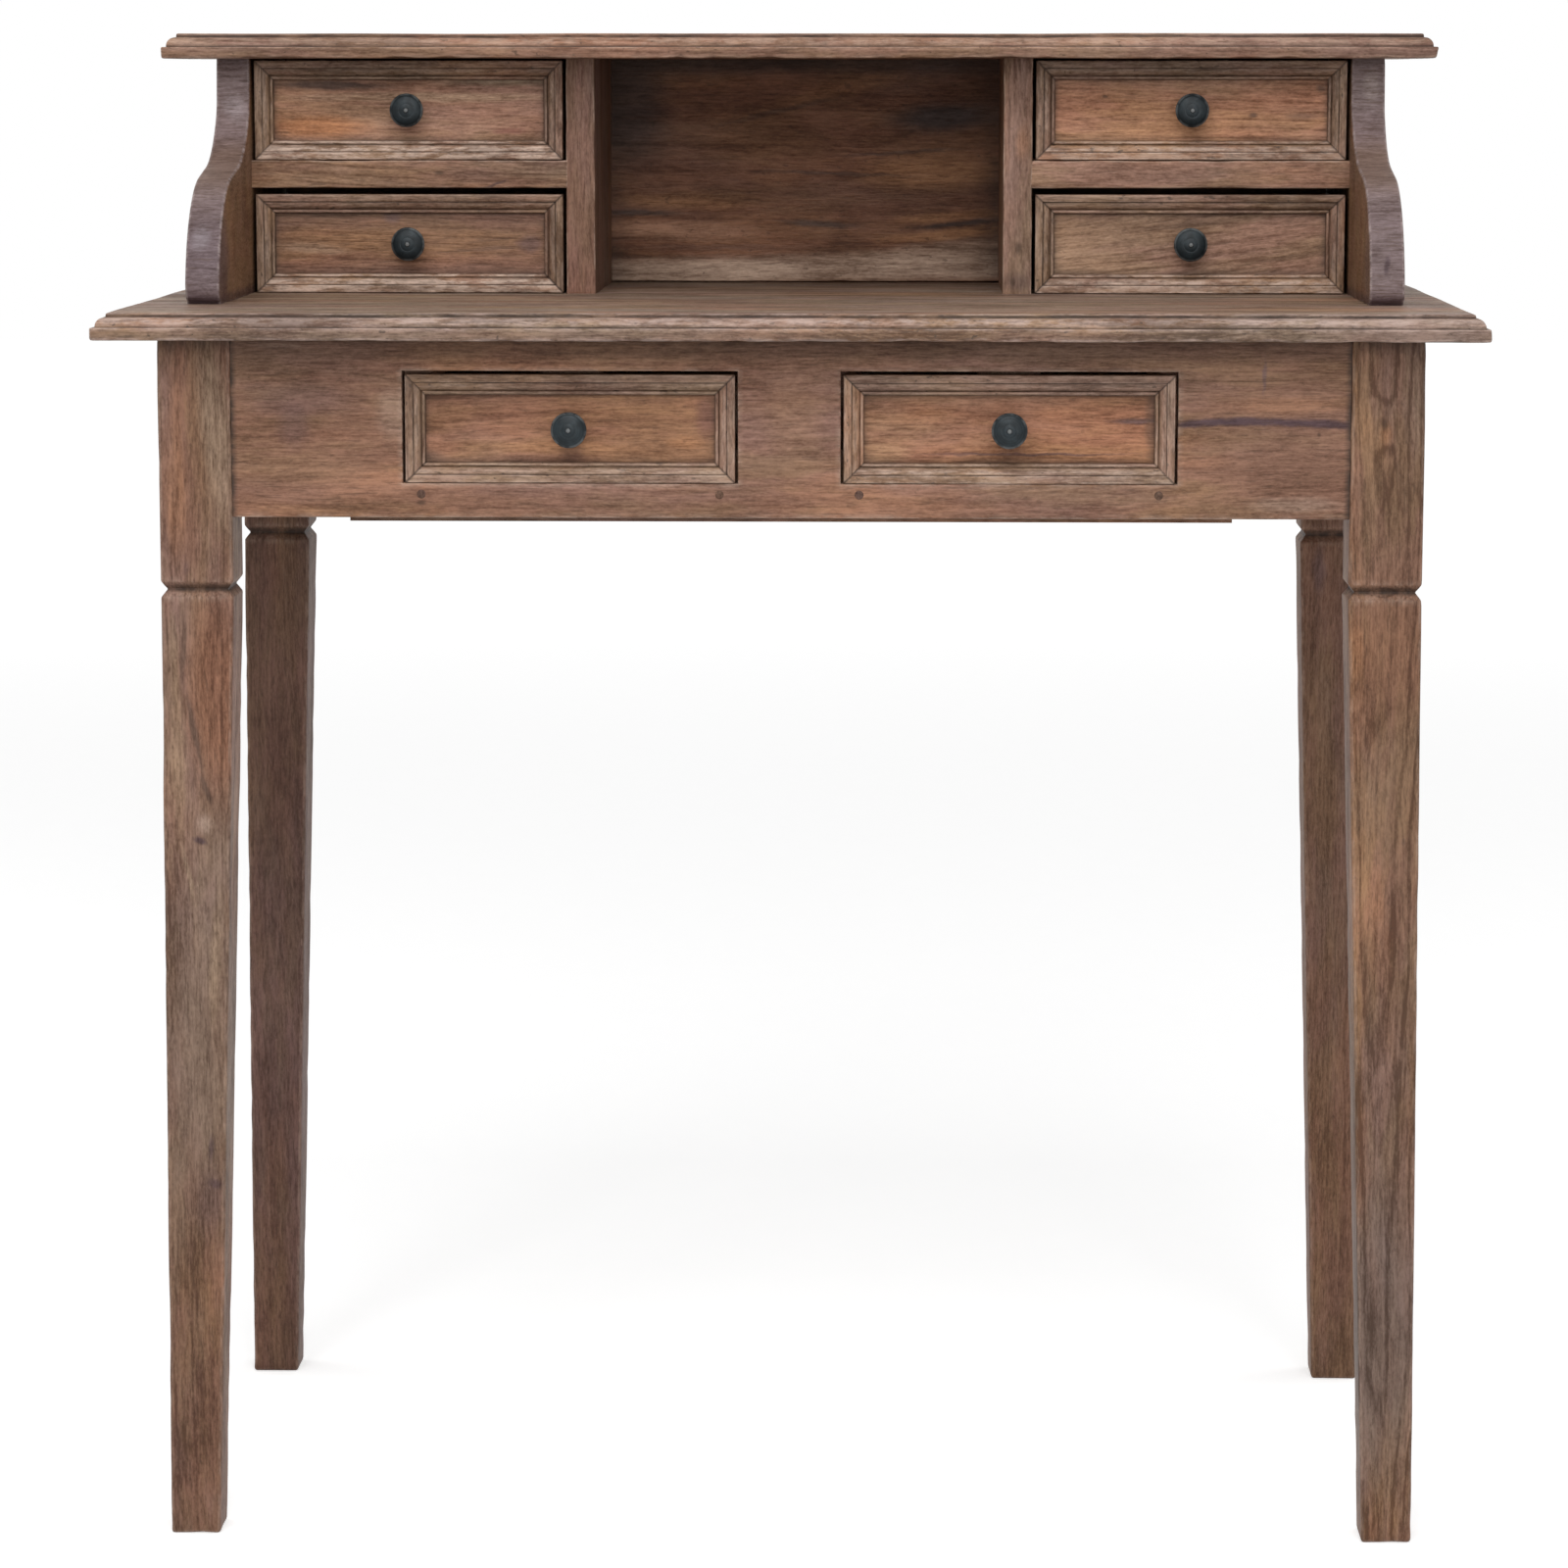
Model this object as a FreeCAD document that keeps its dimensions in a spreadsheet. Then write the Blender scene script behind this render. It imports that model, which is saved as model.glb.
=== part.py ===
import FreeCAD, Part
import os
import re
import Sketcher
from FreeCAD import Vector

# A bonheur du jour: a small writing desk on four tapered legs, with two drawers in its front
# apron and a low hutch of four drawers and an open bay standing on the back of its top.
# Millimetres. X runs across to the right, Y runs back from the front, Z runs up. The origin is
# on the floor, under the middle of the desk top.

# Driving dimensions. Each one is a cell of the sheet "Sizes", with its name as the alias.
SIZES = {
    # desk top, moulded along its front and both ends
    "desk_width": 880,
    "desk_depth": 480,
    "desk_height": 804,
    "top_thickness": 17.5,
    "edge_ledge": 3,
    "edge_round_run": 6.3,
    "edge_round_rise": 6.7,
    "edge_round_bulge": 1.9,
    "edge_step": 2.5,
    # legs
    "leg_width": 47,
    "leg_end_inset": 37,
    "leg_front_inset": 34,
    "leg_back_inset": 14,
    "foot_width": 33,
    "foot_splay": 5,
    "notch_height": 626,
    "notch_opening": 10,
    "notch_cut": 4,
    # aprons and their tenons
    "apron_height": 114,
    "apron_thickness": 20,
    "apron_recess": 2,
    "tenon_length": 22,
    "tenon_thickness": 8,
    "tenon_shoulder": 12,
    "mortise_slack": 0.1,
    # drawer openings of the front apron
    "opening_width": 214,
    "opening_height": 71.5,
    "opening_offset": 139.75,
    "opening_sill": 22,
    # strips that carry and guide the desk drawers
    "bearer_width": 40,
    "bearer_length": 566,
    "bearer_thickness": 12,
    "bearer_drop": 4,
    "runner_width": 36,
    "runner_inset": 11.75,
    "guide_gap": 1,
    "guide_height": 20,
    "kicker_width": 40,
    "kicker_gap": 2,
    "peg_diameter": 6,
    "peg_length": 45,
    "peg_slack": 0.05,
    # hutch
    "hutch_clear_height": 159,
    "hutch_depth": 192,
    "hutch_back_inset": 3,
    "bracket_inset": 42.5,
    "bracket_thickness": 23,
    "divider_thickness": 20,
    "divider_offset": 149.25,
    "mid_shelf_thickness": 19,
    "mid_shelf_top": 90.5,
    "back_panel_thickness": 12,
    "back_panel_gap": 0.8,
    "shelf_width": 860,
    "shelf_depth": 232,
    "shelf_thickness": 17,
    # scrolled front edge of a bracket, forward of the drawer fronts and up from the desk top
    "scroll_top_reach": 3,
    "scroll_neck_reach": 6,
    "scroll_neck_height": 126,
    "scroll_hollow": 7.2,
    "scroll_slope_reach": 61,
    "scroll_slope_height": 87.5,
    "scroll_shoulder_reach": 98,
    "scroll_shoulder_height": 81,
    "scroll_toe_reach": 163,
    "scroll_toe_height": 8,
    "scroll_belly": 15.5,
    "scroll_toe_cut": 8,
    "scroll_toe_bulge": 2.3,
    # drawers
    "desk_drawer_side_gap": 1.75,
    "desk_drawer_front_height": 69,
    "desk_drawer_side_height": 60,
    "desk_drawer_length": 340,
    "hutch_drawer_side_gap": 2.2,
    "hutch_drawer_front_height": 67,
    "hutch_drawer_side_height": 57,
    "hutch_drawer_length": 168,
    "drawer_lift": 0.3,
    "front_thickness": 12,
    "side_thickness": 9,
    "side_inset": 1,
    "side_rebate": 6,
    "drawer_back_thickness": 9,
    "bottom_thickness": 4,
    "bottom_height": 5,
    "bottom_groove": 3.5,
    # mitred moulding of a drawer front
    "moulding_width": 13,
    "moulding_height": 5,
    "moulding_flat": 5.2,
    "moulding_arris": 0.8,
    "moulding_quirk": 0.7,
    "moulding_bead": 2.6,
    "moulding_bead_drop": 2.4,
    "moulding_bead_bulge": 0.9,
    # knobs
    "knob_diameter": 23,
    "knob_projection": 21,
    "knob_head": 8,
    "knob_dome": 2.4,
    "knob_dome_bulge": 0.5,
    "knob_rim": 3.4,
    "knob_rim_bulge": 1.3,
    "knob_neck": 8,
    "knob_neck_hollow": 1,
    "knob_rose": 14,
    "knob_rose_height": 2,
    "knob_nipple": 3.2,
    "knob_nipple_height": 0.8,
    "knob_shank": 4,
    "knob_shank_depth": 9,
    "knob_shank_slack": 0.05,
    # dowels of every glued joint
    "dowel_diameter": 8,
    "dowel_length": 30,
    "dowel_in_board": 10,
    "long_apron_dowel_inset": 63,
    "side_apron_dowel_inset": 90,
    "hutch_dowel_inset": 35,
    "middle_shelf_dowel_inset": 55,
    "dowel_slack": 0.1,
}

# Places worked out from the driving dimensions.
PLACES = {
    "half_width": "desk_width / 2",
    "front_edge": "0 - desk_depth / 2",
    "back_edge": "desk_depth / 2",
    "underside": "desk_height - top_thickness",
    "leg_outer": "half_width - leg_end_inset",
    "leg_inner": "leg_outer - leg_width",
    "leg_front": "front_edge + leg_front_inset",
    "leg_back": "back_edge - leg_back_inset",
    "front_leg_rear": "leg_front + leg_width",
    "back_leg_fore": "leg_back - leg_width",
    "apron_bottom": "underside - apron_height",
    "apron_front": "leg_front + apron_recess",
    "apron_rear": "leg_back - apron_recess",
    "apron_outer": "leg_outer - apron_recess",
    "apron_inside": "apron_front + apron_thickness",
    "apron_rear_inside": "apron_rear - apron_thickness",
    "sill": "apron_bottom + opening_sill",
    "desk_front_width": "opening_width - 2 * desk_drawer_side_gap",
    "runner_thickness": "opening_sill - bearer_thickness + bearer_drop",
    "runner_bottom": "sill - runner_thickness",
    "runner_offset": "opening_width / 2 - runner_inset",
    "desk_box_half": "desk_front_width / 2 - side_inset",
    "hutch_back": "back_edge - hutch_back_inset",
    "hutch_front": "hutch_back - hutch_depth",
    "panel_front": "hutch_back - back_panel_thickness",
    "shelf_underside": "desk_height + hutch_clear_height",
    "bracket_outer": "half_width - bracket_inset",
    "bracket_inner": "bracket_outer - bracket_thickness",
    "divider_outer": "divider_offset + divider_thickness / 2",
    "mid_shelf_level": "desk_height + mid_shelf_top",
    "compartment_width": "bracket_inner - divider_outer",
    "compartment_middle": "(bracket_inner + divider_outer) / 2",
    "hutch_front_width": "compartment_width - 2 * hutch_drawer_side_gap",
}

BOTH_SIDES = (("left", -1), ("right", 1))
doc = FreeCAD.newDocument("bonheur_du_jour")
nodes = []


def fill_sheet():
    """Write every driving dimension to the sheet, as text, under its own alias."""
    sheet = doc.addObject("Spreadsheet::Sheet", "Sizes")
    for row, (name, value) in enumerate(SIZES.items(), start=1):
        sheet.set(f"A{row}", name)
        sheet.set(f"B{row}", str(value))
        sheet.setAlias(f"B{row}", name)
    doc.recompute()
    return sheet


def formula(text):
    """The text with each derived place written out and each size read from the sheet."""
    def word(match):
        name = match.group()
        if name in PLACES:
            return "(" + formula(PLACES[name]) + ")"
        if name in SIZES:
            return "Sizes." + name
        return name
    return re.sub(r"[a-z][a-z_]*", word, text)


def number(text):
    """What the formula comes to now, in millimetres."""
    return float(sheet.evalExpression(formula(text)))


def bind(thing, **sizes):
    """Tie properties of an object to formulas. A name such as Base_x means Placement.Base.x."""
    for name, text in sizes.items():
        path = name.replace("Base_", "Placement.Base.")
        thing.setExpression(path, formula(text))
    return thing


def node(thing, label):
    """Hand the object in as a sub-part under this name."""
    thing.Label = label
    nodes.append(thing)
    return thing


def block(name, low, size):
    """A board with its low corner and its length, width and height given as formulas."""
    board = doc.addObject("Part::Box", name)
    bind(board, Length=size[0], Width=size[1], Height=size[2])
    return bind(board, Base_x=low[0], Base_y=low[1], Base_z=low[2])


def rod(name, diameter, length, foot, direction):
    """A round rod from its foot along a direction."""
    bar = doc.addObject("Part::Cylinder", name)
    bar.Placement.Rotation = FreeCAD.Rotation(Vector(0, 0, 1), direction)
    bind(bar, Radius=f"({diameter}) / 2", Height=length)
    return bind(bar, Base_x=foot[0], Base_y=foot[1], Base_z=foot[2])


def group(name, parts):
    """Separate solids kept together."""
    bundle = doc.addObject("Part::Compound", name)
    bundle.Links = parts
    return bundle


def joined(name, parts):
    """Solids fused into one piece."""
    whole = doc.addObject("Part::MultiFuse", name)
    whole.Shapes = parts
    whole.Refine = True
    return whole


def cut(name, base, tool):
    """The base with the tool taken out of it."""
    rest = doc.addObject("Part::Cut", name)
    rest.Base = base
    rest.Tool = tool
    return rest


def common(name, first, second):
    """What two solids share."""
    shared = doc.addObject("Part::Common", name)
    shared.Base = first
    shared.Tool = second
    return shared


def arc_through(start, end, bulge):
    """An arc that stands off its chord by the bulge, to the left of the way from start to end."""
    chord = end - start
    left = Vector(-chord.y, chord.x, 0).normalize()
    return Part.Arc(start, (start + end) * 0.5 + left * bulge, end)


def radius_formula(corner, following):
    """The radius of the arc between two corners, from its chord and its bulge."""
    chord = f"(({following[0]}) - ({corner[0]}))^2 + (({following[1]}) - ({corner[1]}))^2"
    return f"(({chord}) / 4 + ({corner[2]})^2) / (2 * abs({corner[2]}))"


def draw(sketch, corners):
    """Close an outline through the corners, each placed across and up by formulas.

    A corner's third formula bends the edge that leaves it: the bulge of an arc."""
    points = [Vector(number(corner[0]), number(corner[1]), 0) for corner in corners]
    ends = []
    for index, corner in enumerate(corners):
        after = (index + 1) % len(corners)
        edge = Part.LineSegment(points[index], points[after])
        if len(corner) == 3:
            edge = arc_through(points[index], points[after], number(corner[2]))
        curve = sketch.addGeometry(edge, False)
        starts = sketch.getPoint(curve, 1).distanceToPoint(points[index])
        stops = sketch.getPoint(curve, 2).distanceToPoint(points[index])
        ends.append((curve, 1, 2) if starts < stops else (curve, 2, 1))
    for index, corner in enumerate(corners):
        curve, first, last = ends[index]
        following, following_first, _ = ends[(index + 1) % len(corners)]
        sketch.addConstraint(
            Sketcher.Constraint("Coincident", curve, last, following, following_first))
        for axis, text in zip("XY", corner):
            place = sketch.addConstraint(
                Sketcher.Constraint("Distance" + axis, -1, 1, curve, first, number(text)))
            sketch.setExpression(f"Constraints[{place}]", formula(text))
        if len(corner) == 3:
            radius = radius_formula(corner, corners[(index + 1) % len(corners)])
            place = sketch.addConstraint(
                Sketcher.Constraint("Radius", curve, number(radius)))
            sketch.setExpression(f"Constraints[{place}]", formula(radius))


def outline(body, name, plane, corners):
    """A sketch on one of the body's own origin planes."""
    sketch = body.newObject("Sketcher::SketchObject", name)
    support = [face for face in body.Origin.OriginFeatures if face.Role == plane]
    sketch.AttachmentSupport = [(support[0], "")]
    sketch.MapMode = "FlatFace"
    draw(sketch, corners)
    return sketch


def prism(name, plane, corners, start, length):
    """A padded outline: on YZ_Plane it runs along +X from start, on XZ_Plane along +Y."""
    body = doc.addObject("PartDesign::Body", name)
    sketch = outline(body, name + "_outline", plane, corners)
    backwards = plane == "XZ_Plane"
    offset = f"0 - ({start})" if backwards else start
    sketch.setExpression("AttachmentOffset.Base.z", formula(offset))
    pad = body.newObject("PartDesign::Pad", name + "_pad")
    pad.Profile = sketch
    pad.Reversed = backwards
    bind(pad, Length=length)
    body.Tip = pad
    return body


def moulded_edge(tip, inward, foot, thickness):
    """Corners of a moulded board edge, from its lower arris up: band, ledge, round and step."""
    crown = f"{foot} + {thickness}"
    shoulder = f"{crown} - edge_step"
    return [
        (tip, foot),
        (tip, f"{shoulder} - edge_round_rise"),
        (f"{tip} {inward} edge_ledge", f"{shoulder} - edge_round_rise", "edge_round_bulge"),
        (f"{tip} {inward} (edge_ledge + edge_round_run)", shoulder),
        (f"{tip} {inward} (edge_ledge + edge_round_run)", crown),
    ]


def moulded_board(name, width, fore, depth, foot, thickness):
    """A board with a moulded front and moulded ends, mitred where the mouldings meet."""
    rear = f"{fore} + {depth}"
    square_back = [(rear, f"{foot} + {thickness}"), (rear, foot)]
    front = moulded_edge(fore, "+", foot, thickness) + square_back
    left_end = moulded_edge(f"0 - {width} / 2", "+", foot, thickness)
    right_end = [corner[:2] for corner in moulded_edge(f"{width} / 2", "-", foot, thickness)][::-1]
    right_end[1] += ("edge_round_bulge",)
    along = prism(name + "_front", "YZ_Plane", front, f"0 - {width} / 2", width)
    across = prism(name + "_ends", "XZ_Plane", left_end + right_end, fore, depth)
    return common(name + "_board", along, across)


def dowel_places():
    """Each dowel as the middle of its joint and the way it points out of the drilled board."""
    up, down = Vector(0, 0, 1), Vector(0, 0, -1)
    joint = []
    for across in ("long_apron_dowel_inset - leg_inner", "0", "leg_inner - long_apron_dowel_inset"):
        joint.append(((across, "apron_front + apron_thickness / 2", "underside"), down))
        joint.append(((across, "apron_rear - apron_thickness / 2", "underside"), down))
    for _, side in BOTH_SIDES:
        apron = f"{side} * (apron_outer - apron_thickness / 2)"
        bracket = f"{side} * (bracket_outer - bracket_thickness / 2)"
        divider = f"{side} * divider_offset"
        joint.append(((apron, "front_leg_rear + side_apron_dowel_inset", "underside"), down))
        joint.append(((apron, "back_leg_fore - side_apron_dowel_inset", "underside"), down))
        joint.append(((bracket, "hutch_front - scroll_shoulder_reach", "desk_height"), up))
        for upright in (bracket, divider):
            for along in ("hutch_front + hutch_dowel_inset", "panel_front - hutch_dowel_inset"):
                joint.append(((upright, along, "desk_height"), up))
                joint.append(((upright, along, "shelf_underside"), down))
        for along in ("hutch_front + middle_shelf_dowel_inset", "panel_front - middle_shelf_dowel_inset"):
            level = "mid_shelf_level - mid_shelf_thickness / 2"
            joint.append(((f"{side} * bracket_inner", along, level), Vector(-side, 0, 0)))
            joint.append(((f"{side} * divider_outer", along, level), Vector(side, 0, 0)))
    return joint


def dowel_set(name, diameter, spare):
    """Every dowel, sunk a little into the drilled board and the rest into its mate."""
    rods = []
    for index, (middle, way) in enumerate(dowel_places()):
        foot = [f"{place} - ({step}) * (dowel_in_board + {spare})" for place, step in zip(middle, way)]
        rods.append(rod(f"{name}_{index}", diameter, f"dowel_length + 2 * {spare}", foot, way))
    return group(name, rods)


def drilled(thing, label):
    """The piece with its dowel holes, handed in."""
    return node(cut(label + "_drilled", thing, dowel_holes), label)


def desk_top():
    """The writing surface."""
    board = moulded_board("desk_top", "desk_width", "front_edge", "desk_depth", "underside", "top_thickness")
    drilled(board, "desk_top")


def leg_outline(outer, inner, foot_outer, foot_inner, outward):
    """A leg seen square on: a grooved square head over a tapering shank."""
    rise, groove = "notch_opening / 2", "notch_cut"
    return [
        (foot_outer, "0"),
        (foot_inner, "0"),
        (inner, f"notch_height - {rise}"),
        (f"{inner} {outward} {groove}", "notch_height"),
        (inner, f"notch_height + {rise}"),
        (inner, "underside"),
        (outer, "underside"),
        (outer, f"notch_height + {rise}"),
        (f"{outer} {opposite(outward)} {groove}", "notch_height"),
        (outer, f"notch_height - {rise}"),
    ]


def opposite(sign):
    """The other way."""
    return "-" if sign == "+" else "+"


def mortises(name, side, long_tenon_fore, side_tenon_fore):
    """The two mortises of one leg, one for the long apron's tenon and one for the side apron's."""
    low = "apron_bottom + tenon_shoulder"
    height = "apron_height - 2 * tenon_shoulder"
    thick = "tenon_thickness + 2 * mortise_slack"
    deep = "tenon_length + mortise_slack"
    near = "leg_inner" if side > 0 else f"0 - leg_inner - ({deep})"
    long_one = block(name + "_long_mortise", (near, long_tenon_fore, low), (deep, thick, height))
    cheek = "apron_thickness / 2 + tenon_thickness / 2 + mortise_slack"
    across = f"apron_outer - ({cheek})" if side > 0 else f"0 - apron_outer + ({cheek}) - ({thick})"
    side_one = block(name + "_side_mortise", (across, side_tenon_fore, low), (thick, deep, height))
    return joined(name + "_mortises", [long_one, side_one])


def legs():
    """Four legs, tapered on their two inner faces below the groove."""
    cheek = "apron_thickness / 2 - tenon_thickness / 2 - mortise_slack"
    deep = "tenon_length + mortise_slack"
    ends = {
        "front": ("leg_front", "front_leg_rear", "+", "leg_front + foot_width",
                  f"apron_front + {cheek}", f"front_leg_rear - ({deep})"),
        "back": ("leg_back", "back_leg_fore", "-", "leg_back - foot_width",
                 f"apron_rear_inside + {cheek}", "back_leg_fore"),
    }
    for end, (face, rear, inward, foot_rear, long_fore, side_fore) in ends.items():
        for hand, side in BOTH_SIDES:
            name = f"leg_{end}_{hand}"
            outward = "+" if side > 0 else "-"
            wide = leg_outline(f"{side} * leg_outer", f"{side} * leg_inner",
                               f"{side} * (leg_outer + foot_splay)",
                               f"{side} * (leg_outer + foot_splay - foot_width)", outward)
            deep_face = leg_outline(face, rear, face, foot_rear, opposite(inward))
            fore = "leg_front" if end == "front" else "back_leg_fore"
            span = "leg_width + foot_splay"
            start = "leg_inner" if side > 0 else "0 - leg_outer - foot_splay"
            front_view = prism(name + "_front_view", "XZ_Plane", wide, fore, "leg_width")
            side_view = prism(name + "_side_view", "YZ_Plane", deep_face, start, span)
            whole = common(name + "_whole", front_view, side_view)
            node(cut(name + "_leg", whole, mortises(name, side, long_fore, side_fore)), name)


def tenoned_board(name, low, size, tenon_low, tenon_size):
    """An apron with one tenon that runs through its length and stands out at both ends."""
    board = block(name + "_board", low, size)
    tenon = block(name + "_tenon", tenon_low, tenon_size)
    return joined(name + "_tenoned", [board, tenon])


def long_apron(name, fore):
    """An apron between two legs of the same end, tenoned into both."""
    low = ("0 - leg_inner", fore, "apron_bottom")
    size = ("2 * leg_inner", "apron_thickness", "apron_height")
    tenon_low = ("0 - leg_inner - tenon_length",
                 f"{fore} + apron_thickness / 2 - tenon_thickness / 2",
                 "apron_bottom + tenon_shoulder")
    tenon_size = ("2 * (leg_inner + tenon_length)", "tenon_thickness", "apron_height - 2 * tenon_shoulder")
    return tenoned_board(name, low, size, tenon_low, tenon_size)


def side_apron(name, side):
    """An apron between a front leg and a back leg."""
    near = "apron_outer - apron_thickness" if side > 0 else "0 - apron_outer"
    low = (near, "front_leg_rear", "apron_bottom")
    size = ("apron_thickness", "back_leg_fore - front_leg_rear", "apron_height")
    tenon_low = (f"{near} + apron_thickness / 2 - tenon_thickness / 2",
                 "front_leg_rear - tenon_length", "apron_bottom + tenon_shoulder")
    tenon_size = ("tenon_thickness", "back_leg_fore - front_leg_rear + 2 * tenon_length",
                  "apron_height - 2 * tenon_shoulder")
    return tenoned_board(name, low, size, tenon_low, tenon_size)


def runner_places():
    """The middle line of each runner, one under each side of each desk drawer."""
    return [f"{side} * (opening_offset {way} runner_offset)" for _, side in BOTH_SIDES for way in "+-"]


def peg_set(name, spare):
    """Round pegs driven through the front apron into the ends of the runners."""
    pegs = []
    for index, across in enumerate(runner_places()):
        foot = (across, "apron_front", "runner_bottom + runner_thickness / 2")
        pegs.append(rod(f"{name}_{index}", f"peg_diameter + 2 * {spare}", f"peg_length + {spare}",
                        foot, Vector(0, 1, 0)))
    return group(name, pegs)


def aprons():
    """The frame under the top. The front apron has two drawer openings and four pegs."""
    openings = []
    for hand, side in BOTH_SIDES:
        low = (f"{side} * opening_offset - opening_width / 2", "apron_front", "sill")
        size = ("opening_width", "apron_thickness", "opening_height")
        openings.append(block(f"drawer_opening_{hand}", low, size))
        drilled(side_apron(f"{hand}_apron", side), f"{hand}_apron")
    solid = long_apron("front_apron", "apron_front")
    pierced = cut("front_apron_pierced", solid, group("front_apron_cuts", openings))
    drilled(cut("front_apron_pegged", pierced, peg_holes), "front_apron")
    drilled(long_apron("back_apron", "apron_rear_inside"), "back_apron")
    node(peg_set("front_apron_pegs", "0"), "apron_pegs")


def drawer_supports():
    """Bearers across the frame, and on them the runners, guides and kickers of the desk drawers."""
    run = "apron_rear_inside - apron_inside"
    bearer = ("bearer_length", "bearer_width", "bearer_thickness")
    level = "runner_bottom - bearer_thickness"
    fore = block("front_bearer", ("0 - bearer_length / 2", "apron_inside", level), bearer)
    rear_place = ("0 - bearer_length / 2", "apron_rear_inside - bearer_width", level)
    rear = block("back_bearer", rear_place, bearer)
    node(group("bearers", [fore, rear]), "drawer_bearers")
    runners, guides, kickers = [], [], []
    for index, across in enumerate(runner_places()):
        low = (f"{across} - runner_width / 2", "apron_inside", "runner_bottom")
        runners.append(block(f"runner_{index}", low, ("runner_width", run, "runner_thickness")))
    node(cut("runners_drilled", group("runners", runners), peg_holes), "drawer_runners")
    reach = "desk_box_half + guide_gap"
    edge = "runner_offset + runner_width / 2"
    for hand, side in BOTH_SIDES:
        middle = f"{side} * opening_offset"
        size = (f"({edge}) - ({reach})", run, "guide_height")
        outer_low = (f"{middle} + {reach}", "apron_inside", "sill")
        inner_low = (f"{middle} - ({edge})", "apron_inside", "sill")
        guides.append(block(f"guide_outer_{hand}", outer_low, size))
        guides.append(block(f"guide_inner_{hand}", inner_low, size))
        clear = "sill + drawer_lift + desk_drawer_side_height + kicker_gap"
        kicker_low = (f"{middle} - kicker_width / 2", "apron_inside", clear)
        kickers.append(block(f"kicker_{hand}", kicker_low, ("kicker_width", run, f"underside - ({clear})")))
    node(group("guides", guides), "drawer_guides")
    node(group("kickers", kickers), "drawer_kickers")


def bracket_outline():
    """Side of the hutch, seen from the side: square behind, scrolled in front."""
    def reach(size):
        return f"hutch_front - {size}"
    return [
        ("hutch_back", "desk_height"),
        ("hutch_back", "shelf_underside"),
        (reach("scroll_top_reach"), "shelf_underside"),
        (reach("scroll_neck_reach"), "desk_height + scroll_neck_height", "scroll_hollow"),
        (reach("scroll_slope_reach"), "desk_height + scroll_slope_height"),
        (reach("scroll_shoulder_reach"), "desk_height + scroll_shoulder_height", "0 - scroll_belly"),
        (reach("scroll_toe_reach"), "desk_height + scroll_toe_height", "0 - scroll_toe_bulge"),
        (reach("(scroll_toe_reach - scroll_toe_cut)"), "desk_height"),
    ]


def hutch():
    """Brackets, dividers, middle shelves, back panel and top shelf."""
    for hand, side in BOTH_SIDES:
        outer = "bracket_inner" if side > 0 else "0 - bracket_outer"
        plank = prism(f"{hand}_bracket_plank", "YZ_Plane", bracket_outline(), outer, "bracket_thickness")
        drilled(plank, f"{hand}_bracket")
        low = (f"{side} * divider_offset - divider_thickness / 2", "hutch_front", "desk_height")
        size = ("divider_thickness", "panel_front - hutch_front", "hutch_clear_height")
        drilled(block(f"{hand}_divider_board", low, size), f"{hand}_divider")
        near = "divider_outer" if side > 0 else "0 - bracket_inner"
        low = (near, "hutch_front", "mid_shelf_level - mid_shelf_thickness")
        size = ("compartment_width", "panel_front - hutch_front", "mid_shelf_thickness")
        drilled(block(f"{hand}_middle_shelf_board", low, size), f"{hand}_middle_shelf")
    low = ("0 - bracket_inner", "panel_front", "desk_height + back_panel_gap")
    size = ("2 * bracket_inner", "back_panel_thickness", "hutch_clear_height - back_panel_gap")
    node(block("back_board", low, size), "hutch_back_panel")
    fore = "back_edge - shelf_depth"
    board = moulded_board("top_shelf", "shelf_width", fore, "shelf_depth",
                          "shelf_underside", "shelf_thickness")
    drilled(board, "top_shelf")


def moulding_section():
    """Section of the drawer moulding: along from its outer edge, and down from its face."""
    root, face = "moulding_height", "0"
    bead_top = "moulding_width - moulding_bead"
    return [
        ("0", root),
        ("0", "moulding_arris"),
        ("moulding_arris", face),
        ("moulding_flat", face),
        ("moulding_flat", "moulding_quirk", "0 - moulding_quirk"),
        (bead_top, "moulding_bead_drop + moulding_quirk"),
        (bead_top, "moulding_bead_drop", "0 - moulding_bead_bulge"),
        ("moulding_width", "moulding_bead_drop + moulding_quirk"),
        ("moulding_width", root),
    ]


def mitre(length):
    """Outline of a strip with both ends mitred, its long edge below."""
    return [
        (f"0 - ({length}) / 2", "0"),
        (f"({length}) / 2", "0"),
        (f"({length}) / 2 - moulding_width", "moulding_width"),
        (f"0 - ({length}) / 2 + moulding_width", "moulding_width"),
    ]


def strip(name, length):
    """A moulding strip that lies along X with its outer edge down and its face towards -Y."""
    section = [(corner[1], corner[0]) + mirrored(corner[2:]) for corner in moulding_section()]
    bar = prism(name + "_bar", "YZ_Plane", section, f"0 - ({length}) / 2", length)
    ends = prism(name + "_ends", "XZ_Plane", mitre(length), "0", "moulding_height")
    return common(name, bar, ends)


def mirrored(bulge):
    """The bulge of an outline that is drawn with its two axes exchanged."""
    return tuple(f"0 - ({text})" for text in bulge)


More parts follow.
